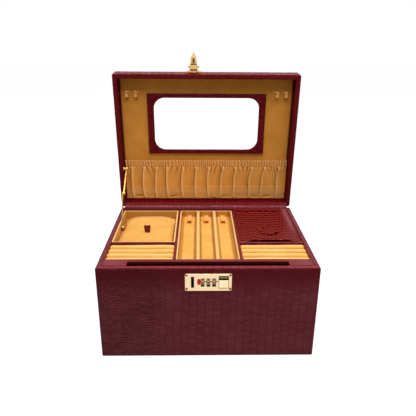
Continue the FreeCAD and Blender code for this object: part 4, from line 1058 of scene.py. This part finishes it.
def gathered(s, t):
    """The pocket's face, on the shut lid: across the lid, along from its hinge, and proud of the lining."""
    x = (2 * s - 1) * pocket_half
    along = pocket_low + (pocket_high - pocket_low) * t
    seam = pocket_high - pocket_band
    drop = np.maximum(seam - along, 0)
    below = rise(seam + 1, seam - 2, along)
    full = rise(seam + 4, seam - 40, along)
    proud = pocket_clear + (1.6 + pocket_full * full) * rise(pocket_low - 1, pocket_low + 2.5, along)
    folds = np.zeros(x.shape)
    crest = np.zeros(x.shape)
    crease = np.zeros(x.shape)
    belly = np.zeros(x.shape)
    to_right = rise(-60, 90, x)
    lean = (1.6 + 2.2 * to_right) * rise(seam - 26, seam, along) ** 1.5
    lean = lean + 2 * rise(30, 6, along) * rise(40, -40, x)
    for number, fold_place in enumerate(fold_places):
        away = x - fold_place - lean - 0.7 * np.sin(number * 2.3 + along / 19)
        bold = 1 + 0.25 * math.sin(number * 3.1)
        lapped = np.exp(np.minimum(away, 0) / lap_wide)
        rounded = np.exp(-(np.maximum(away, 0) / fold_wide) ** 1.3)
        folds += bold * fold_tall * np.where(away < 0, lapped, rounded)
        crest += bold * np.exp(-((away - 1.6) / 1.6) ** 2)
        crease += bold * (np.exp(-((away + 0.9) / 1.0) ** 2) + 0.3 * np.exp(-((away + 4) / 3) ** 2))
        slope = 0.24 * math.sin(number * 2.7 + 0.5)
        line = pocket_low + 6 + 1.5 * math.sin(number * 1.7) + slope * away
        strong = max(0, 0.45 + 0.55 * math.sin(number * 1.9 + 2))
        belly += strong * np.exp(-((along - line) / 1.1) ** 2) * rise(1, 5, away) * rise(19, 14, away)
    hang = below * rise(pocket_low - 1, pocket_low + 7, along)
    phase = 2 * math.pi * x / ruffle_pitch + 3.1 * np.sin(x / 17) + 1.9 * np.sin(x / 6.1) + (along - seam) / 9
    tufts = np.sin(phase) * (0.75 + 0.25 * np.sin(x / 5.3 + 1.7))
    slant = np.sin(phase * 0.62 + 0.3 * drop * np.sin(x / 10.5 + 0.4))
    short = below * np.exp(-drop / (6 + 3 * np.sin(x / 8.7 + 0.6))) * (0.7 + 0.3 * np.sin(x / 8.7 + 0.6))
    nip = (0.45 + 0.3 * np.sin(phase)) * np.exp(-((along - seam) / 0.9) ** 2)
    hem = rise(pocket_high - 2.4, pocket_high - 0.6, along)
    slack = rise(34, 30, along) * rise(14, 22, along)
    proud = proud + folds * hang + tufts * (1 - below) + 1.1 * slant * short
    proud = proud - nip - 0.9 * belly + 0.5 * slack
    # Painted highlight on the crests of the folds, ruffles and hem, and painted shade in the folds' hollows,
    # the belly creases and the header's nip.
    gathered.crest = np.clip(0.9 * crest * hang + (0.15 + 0.75 * np.clip(tufts, 0, 1)) * (1 - below)
                             + 0.7 * np.clip(slant, 0, 1) * short + 0.5 * hem * (0.6 + 0.4 * np.sin(phase))
                             + 0.35 * rise(32, 26, along) * (1 - belly), 0, 1)
    gathered.crease = np.clip(0.9 * crease * hang * rise(-20, 30, along)
                              + 0.7 * np.clip(-tufts, 0, 1) * (1 - below)
                              + 0.9 * np.clip(-slant, 0, 1) * short + 0.4 * nip + 0.75 * belly, 0, 1)
    edge = 0.5 * np.sin(phase) * rise(pocket_high - 4, pocket_high, along)
    return x, case_back - along - edge, lining_face - np.maximum(proud, 0.7)


pocket = cells("gathered_pocket", 540, 88, gathered)
remember(pocket, "crease", gathered.crease)
remember(pocket, "crest", gathered.crest)
pocket.data.transform(lid_open)
thicken(pocket, pocket_thick)
pocket_suede = suede("pocket_suede", "#DA923C", "#ECA850", "#9C5A1A", "#FAC47C")
dress(pocket, pocket_suede)
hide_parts("lid_pocket")
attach(pocket, "lid")

# Necklace hooks: four strips of brass, each bent to a hook and pinned to the lining by its foot.
# They are polished and gold-plated, and have dulled to an even tone.

# Gold plate: a bright metal whose highlights are broken up by the grain of its polish.
# Clouds of tarnish are 9 mm across. The grain is drawn at 0.5 mm, coarser than it is, so that it shows.
plate_cloud = 9 * mm
plate_grain = 0.5 * mm
grain_rough = 0.12


def gold_plate(name, shade, light, roughness, shade_and_blueing=None, dark="#2A1206"):
    """Gold plate between two tones. The share function given after the roughness, if any, gives where the
    dark tone is taken instead: painted shade on the hasp's leaf, and blued steel on the slide's carriage.
    """
    material, tree, shader = surface(name)
    spot = place(tree, "TexCoord").outputs["Object"]
    cloud = place(tree, "TexNoise", {"Vector": spot, "Scale": 1 / plate_cloud, "Detail": 3}).outputs[0]
    grain = place(tree, "TexNoise", {"Vector": spot, "Scale": 1 / plate_grain, "Detail": 2}).outputs[0]
    tint = place(tree, "Mix", {0: cloud, 6: linear(shade), 7: linear(light)}, data_type="RGBA")
    if shade_and_blueing:
        kept = {0: shade_and_blueing(tree, spot), 6: tint.outputs[2], 7: linear(dark)}
        tint = place(tree, "Mix", kept, data_type="RGBA")
    rough = {"Value": grain, "To Min": roughness, "To Max": roughness + grain_rough}
    polish = place(tree, "MapRange", rough).outputs[0]
    tree.links.new(tint.outputs[2], shader.inputs["Base Color"])
    tree.links.new(polish, shader.inputs["Roughness"])
    shader.inputs["Metallic"].default_value = 1
    return material


hook_gold = gold_plate("hook_gold", "#A87238", "#C6924E", 0.3)
wear(hook_gold, "necklace_hooks")

# Lid stay: two brass strips that fold at a riveted elbow, pinned to a plate on the case and one on the lid.
# They are plated a deep gold, and the lower strip is a darker, duller gold.
deep_gold = gold_plate("deep_gold", "#B9893A", "#DDB766", 0.22)
darker_gold = gold_plate("darker_gold", "#8F7238", "#B5965A", 0.3)
wear(deep_gold, "stay_base_plate", "stay_lid_plate", "stay_elbow_pin", "stay_upper_arm")
wear(darker_gold, "stay_lower_arm")

# Hasp: a stamped brass leaf with a hooked tongue, hung by a pin on a plate at the front of the lid.
# The leaf carries painted shade in its stamped steps and on its finger wings, and the plate and pin are a
# redder gold, a painted reflection of the red case.
leaf_low, leaf_high = (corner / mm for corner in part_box("hasp_flap"))
leaf_middle = (leaf_low.x + leaf_high.x) / 2
neck_high = 0.17
waist_high = 0.44
wing_half = 6.1


def leaf_tarnish(tree, spot):
    """Painted shade in the stamped steps across the leaf's neck and waist, and on its finger wings."""
    where = place(tree, "SeparateXYZ", {0: spot}).outputs
    dark = 0
    for step_high, step_tall in ((neck_high, 0.8), (waist_high, 0.5)):
        height = leaf_low.z + step_high * (leaf_high.z - leaf_low.z)
        above = place(tree, "Math", {0: where["Z"], 1: height * mm}, operation="SUBTRACT").outputs[0]
        away = place(tree, "Math", {0: above}, operation="ABSOLUTE").outputs[0]
        near = {"Value": away, "From Min": 2 * step_tall * mm, "From Max": 0.6 * step_tall * mm}
        step = place(tree, "MapRange", near).outputs[0]
        dark = place(tree, "Math", {0: step, 1: dark}, operation="MAXIMUM").outputs[0]
    beside = place(tree, "Math", {0: where["X"], 1: leaf_middle * mm}, operation="SUBTRACT").outputs[0]
    outward = place(tree, "Math", {0: beside}, operation="ABSOLUTE").outputs[0]
    wing = {"Value": outward, "From Min": wing_half * mm, "From Max": (wing_half + 0.8) * mm, "To Max": 0.8}
    return place(tree, "Math", {0: place(tree, "MapRange", wing).outputs[0], 1: dark},
                 operation="MAXIMUM").outputs[0]


# The leaf takes painted shade by its share, and the red gold of plate and pin is a painted reflection of the
# case.
hasp_gold = gold_plate("hasp_gold", "#644B2A", "#9A8056", 0.4, leaf_tarnish)
red_reflection_gold = gold_plate("red_reflection_gold", "#6A230C", "#A04A1C", 0.32)
wear(hasp_gold, "hasp_flap")
wear(red_reflection_gold, "hasp_plate", "hasp_pin")

# Hasp screws: two domed brass screws through the ears of the hasp's plate into the lid's wall.
# Each head is turned as a ball and cut flat where it beds on the plate.
dome_round = 2.6
dome_tall = 2.9
dome_sunk = 0.6
dome_crease = math.radians(40)
screws_low, screws_high = (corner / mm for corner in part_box("hasp_screws"))
screw_half = (screws_high.y - screws_low.y) / 2
domes = []
for screw_x in (screws_low.x + screw_half, screws_high.x - screw_half):
    bpy.ops.object.select_all(action="DESELECT")
    bed = Vector((screw_x, (screws_low.y + screws_high.y) / 2, screws_high.z - dome_sunk)) * mm
    bpy.ops.mesh.primitive_uv_sphere_add(segments=40, ring_count=24, radius=1, location=bed)
    dome = bpy.context.object
    dome.scale = Vector((dome_round, dome_round, dome_tall)) * mm
    bpy.ops.object.transform_apply(location=True, rotation=True, scale=True)
    edited(dome, bpy.ops.mesh.bisect, plane_co=bed, plane_no=(0, 0, 1), clear_inner=True, use_fill=True)
    bpy.ops.object.shade_smooth_by_angle(angle=dome_crease)
    domes.append(dome)
hasp_domes = joined("hasp_domes", domes)
hasp_domes.data.materials.append(hook_gold)
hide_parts("hasp_screws")
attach(hasp_domes, "lid")

# Fall front: a board wrapped in hide on its face and edges, lined with suede inside.
# It hinges on a leather strip under the case, and the lid's hasp locks it shut.
front_step = 1.0
front_foot = 1.3
front_inside = 103
front_face = 111
front_round = 1.5
mortise_half = 26.5
mortise_low = 105.8
mortise_high = 127.6
whorl_middle = (-104, 52)
whorl_spread = 60
belly_shift = 4
flank_from = -48
flank_full = -72
flank_wide = 9.8
flank_tall = 3.9
flank_bold = 0.65
haze_free_low = 92
haze_free_high = 131
lip_front = 136.8
highlight_full = 138.4
lip_turn = 139.2
lip_back = 141.4


def flank_share(across, along):
    """How far the belly's scales have given way to the flank's, towards the left."""
    return rise(flank_from, flank_full, across + 6 * np.sin(along / 19))


def front_scales(across, along):
    """The front's hide: broad belly scales, running into small wandering flank scales at the left."""
    broad_gap, broad_tone = belly_scales(across + belly_shift, along)
    swept_across, swept_along = whorled(across, along, whorl_middle, whorl_spread)
    ripple = 1.3 * np.sin(swept_across / 7.5) + 0.6 * np.sin(swept_across / 3.9 + along / 11)
    fine_gap, fine_tone = scales(swept_across, swept_along + ripple, flank_wide, flank_tall,
                                 jitter=0.35, column_faint=1.4)
    share = flank_share(across, along)
    gap = broad_gap + (flank_bold * fine_gap - broad_gap) * share
    return gap, broad_tone + (fine_tone - broad_tone) * share


front_rows = (straight((0, front_inside), (0, front_face - front_round), front_step)
              + quarter((front_round, front_face - front_round), front_round, 180))
front_wrap = skin("front_wrap", case_half, front_foot, rim_high, front_round, front_rows, front_step, False,
                  front_face)
middles = np.array([face.center for face in front_wrap.data.polygons]) / mm
in_mortise = ((np.abs(middles[:, 0]) < mortise_half) & (middles[:, 1] > mortise_low)
              & (middles[:, 1] < mortise_high) & (middles[:, 2] > front_face - front_round))
bpy.ops.object.mode_set(mode="EDIT")
bpy.ops.mesh.select_mode(type="FACE")
bpy.ops.mesh.select_all(action="DESELECT")
bpy.ops.object.mode_set(mode="OBJECT")
front_wrap.data.polygons.foreach_set("select", in_mortise)
bpy.ops.object.mode_set(mode="EDIT")
bpy.ops.mesh.delete(type="FACE")
bpy.ops.object.mode_set(mode="OBJECT")
emboss(front_wrap, front_scales, groove_deep)
across, along = recall(front_wrap, "flat_across"), recall(front_wrap, "flat_along")
# Painted reflection: the haze in the hide's tones is taken out towards the top of the front.
haze_free_share = rise(haze_free_low, haze_free_high, along)
remember(front_wrap, "painted_light", haze_free_share * (0.7 + 0.3 * recall(front_wrap, "tone")))
# Painted highlight along the front's lip, strongest near its front edge and fainter towards the back.
lip_highlight = rise(lip_front, highlight_full, along) * (1 - 0.55 * rise(lip_turn, lip_back, along))
remember(front_wrap, "painted_highlight", lip_highlight)
remember(front_wrap, "flank", flank_share(across, along))
thicken(front_wrap, hide_thick)
stand_up = Matrix(((1, 0, 0, 0), (0, 0, -1, 0), (0, 1, 0, 0), (0, 0, 0, 1)))
front_wrap.data.transform(stand_up)
dress(front_wrap, pressed_hide)
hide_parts("front_leather")
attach(front_wrap, "front_panel")
wear(tan_suede, "front_lining")

# Front hinge: a strip of hide glued under the case and to the foot of the fall front.
# Only its last millimetre is bent, turning up towards the front.
strip_half = 142.8
strip_back = -86.2
strip_fold = -110.6
strip_thick = 0.8
strip_low = 0.05
strip_bend = 1
strip_short = 0.4
strip_lift = 0.6


def front_strip(s, t):
    """The strip's under face, from its back edge to the fold and a short way up."""
    run = strip_back - strip_fold
    along = t * (run + strip_bend)
    return ((2 * s - 1) * strip_half, strip_back - np.minimum(along, run - strip_short),
            strip_low + strip_lift * rise(run - strip_bend, run + strip_bend, along))


front_hinge = cells("front_hinge_leather", 150, 26, front_strip)
thicken(front_hinge, strip_thick)
dress(front_hinge, rail_hide)
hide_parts("front_hinge_strip")
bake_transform(front_hinge)

# Combination lock: a stamped brass plate screwed to the front, with windows for three number wheels.
# The plate is polished and plated in pale gold, and the case behind it and the wheels' axle are steel.
pale_gold = gold_plate("pale_gold", "#D9BE94", "#E8CFA8", 0.25)
dark_brass = gold_plate("dark_brass", "#5E3A10", "#84622A", 0.35)
wear(pale_gold, "lock_plate")
wear(dark_brass, "lock_screws")

# Blued steel: nearly black, half dull, with scuffs about 3 mm across.
steel_scuff = 3 * mm
blued, tree, shader = surface("blued_steel")
spot = place(tree, "TexCoord").outputs["Object"]
scuff = place(tree, "TexNoise", {"Vector": spot, "Scale": 1 / steel_scuff, "Detail": 3}).outputs[0]
tint = place(tree, "Mix", {0: scuff, 6: linear("#1B1A1A"), 7: linear("#34312E")}, data_type="RGBA")
tree.links.new(tint.outputs[2], shader.inputs["Base Color"])
shader.inputs["Metallic"].default_value = 0.9
shader.inputs["Roughness"].default_value = 0.5
wear(blued, "lock_case", "wheel_axle")

# Release slide: a brass button on a steel carriage, which slides in the lock's case.
# The button is plated like the lock's plate, and the carriage behind the plate is blued.
slide_front = -111


def carriage(tree, spot):
    """One behind the plate, where the slide is blued, and nought on the button."""
    depth = place(tree, "SeparateXYZ", {0: spot}).outputs["Y"]
    return place(tree, "Math", {0: depth, 1: slide_front * mm}, operation="GREATER_THAN").outputs[0]


button_gold = gold_plate("button_gold", "#E3C99E", "#F2DAB4", 0.25, carriage, "#2A2420")
wear(button_gold, "release_slide")

# Number wheels: three turned brass wheels on the axle, enamelled, with ten printed digits on each.
# Each digit is a thin layer of black paint that follows the wheel's rim.
wheel_radius = 6.0
digit_count = 10
digit_tall = 3.0
digit_share = 0.7
digit_proud = 0.05 * mm
enamel_cloud = 2 * mm


# Stoved enamel: an even paint with a soft gloss, faintly cloudy over 2 mm.
def enamel(name, shade, light, roughness):
    """Enamel between two tones."""
    material, tree, shader = surface(name)
    spot = place(tree, "TexCoord").outputs["Object"]
    cloud = place(tree, "TexNoise", {"Vector": spot, "Scale": 1 / enamel_cloud, "Detail": 2}).outputs[0]
    tint = place(tree, "Mix", {0: cloud, 6: linear(shade), 7: linear(light)}, data_type="RGBA")
    tree.links.new(tint.outputs[2], shader.inputs["Base Color"])
    shader.inputs["Roughness"].default_value = roughness
    return material


wheel_paint = enamel("wheel_paint", "#A8965C", "#BBA86C", 0.4)
digit_paint = enamel("digit_paint", "#14110E", "#231E18", 0.45)
wear(wheel_paint, "number_wheel_1", "number_wheel_2", "number_wheel_3")


def digit_ring(name, wheel):
    """Ten digits round one wheel, each a flat letter bent on to the wheel's rim."""
    ring = []
    low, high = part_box(wheel)
    middle = (low + high) / 2
    for digit in range(digit_count):
        bpy.ops.object.select_all(action="DESELECT")
        bpy.ops.object.text_add(location=(0, 0, 0))
        text = bpy.context.object
        text.data.body = str(digit)
        text.data.size = digit_tall * mm / digit_share
        text.data.align_x = "CENTER"
        text.data.align_y = "CENTER"
        bpy.ops.object.convert(target="MESH")
        text = bpy.context.object
        edited(text, bpy.ops.mesh.quads_convert_to_tris)
        edited(text, bpy.ops.mesh.subdivide, number_cuts=3)
        spots = spots_of(text)
        angle = spots[:, 1] / (wheel_radius * mm) + 2 * math.pi * digit / digit_count
        reach = wheel_radius * mm + digit_proud
        put(text, np.stack((middle.x + spots[:, 0], middle.y - reach * np.cos(angle),
                            middle.z + reach * np.sin(angle)), -1))
        ring.append(text)
    digits = joined(name, ring)
    dress(digits, digit_paint)
    return digits


for number in (1, 2, 3):
    digits = digit_ring(f"digits_{number}", f"number_wheel_{number}")
    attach(digits, f"wheel_{number}")

# Lock marks: a red oval and three short red lines, enamel laid on the plate beside the wheels.
# The lines show where the digits are read. The enamel stands proud and its edges have run round.
lock_face = -113
mark_place = (-12.2, 117.4)
mark_half = (2.5, 4.6)
mark_proud = 0.2
line_places = (-3.7, 3.7, 10.9)
line_height = 117.8
line_wide = 2.3
line_tall = 1.7


def finished(name, width):
    """Sets the new piece at its size and place, rounds its edges and names it."""
    bpy.ops.object.transform_apply(location=True, rotation=True, scale=True)
    piece = bpy.context.object
    soft = piece.modifiers.new("Soft", "BEVEL")
    soft.width = width * mm
    soft.segments = 2
    bpy.ops.object.modifier_apply(modifier="Soft")
    return called(piece, name)


def oval(name):
    """The oval mark, a low drum stood on the plate."""
    bpy.ops.object.select_all(action="DESELECT")
    middle = Vector((mark_place[0], lock_face - mark_proud / 2, mark_place[1])) * mm
    bpy.ops.mesh.primitive_cylinder_add(
        vertices=40, radius=1, depth=mark_proud * mm, rotation=(math.pi / 2, 0, 0), location=middle)
    bpy.context.object.scale = (mark_half[0] * mm, mark_half[1] * mm, 1)
    return finished(name, mark_proud / 2)


def bar(name, x, y, z, wide, deep, tall):
    """A small bar across the lock, about its middle."""
    bpy.ops.object.select_all(action="DESELECT")
    bpy.ops.mesh.primitive_cube_add(size=1, location=(x * mm, y * mm, z * mm))
    bpy.context.object.scale = (wide * mm, deep * mm, tall * mm)
    return finished(name, min(deep, tall) / 4)


red_paint = enamel("red_paint", "#F00028", "#FF0A38", 0.75)
marks = [oval("oval")]
line_y = lock_face - mark_proud / 2
for line_x in line_places:
    marks.append(bar("line", line_x, line_y, line_height, line_wide, mark_proud, line_tall))
red_mark = joined("red_mark", marks)
red_mark.data.materials.append(red_paint)
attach(red_mark, "front_panel")

# Button stop: a plated brass bar across the top of the button's window, let in behind the plate's face.
# The button slides up to it.
button_middle = 19.8
stop_y = -111.8
stop_height = 122.8
stop_wide = 12.2
stop_thick = 0.5
stop_bar = bar("button_stop", button_middle, stop_y, stop_height, stop_wide, stop_thick, stop_thick)
stop_bar.data.materials.append(pale_gold)
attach(stop_bar, "front_panel")

# Button shadow: a thin black strip of enamel laid on the plate just under the button, a painted shadow of the
# gap beneath it.
# It follows the button's lower edge.
under_height = 107.9
under_wide = 11.6
under_proud = 0.08
under_tall = 0.5
button_shadow = bar("button_shadow", button_middle, lock_face - under_proud / 2, under_height,
                  under_wide, under_proud, under_tall)
button_shadow.data.materials.append(digit_paint)
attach(button_shadow, "front_panel")
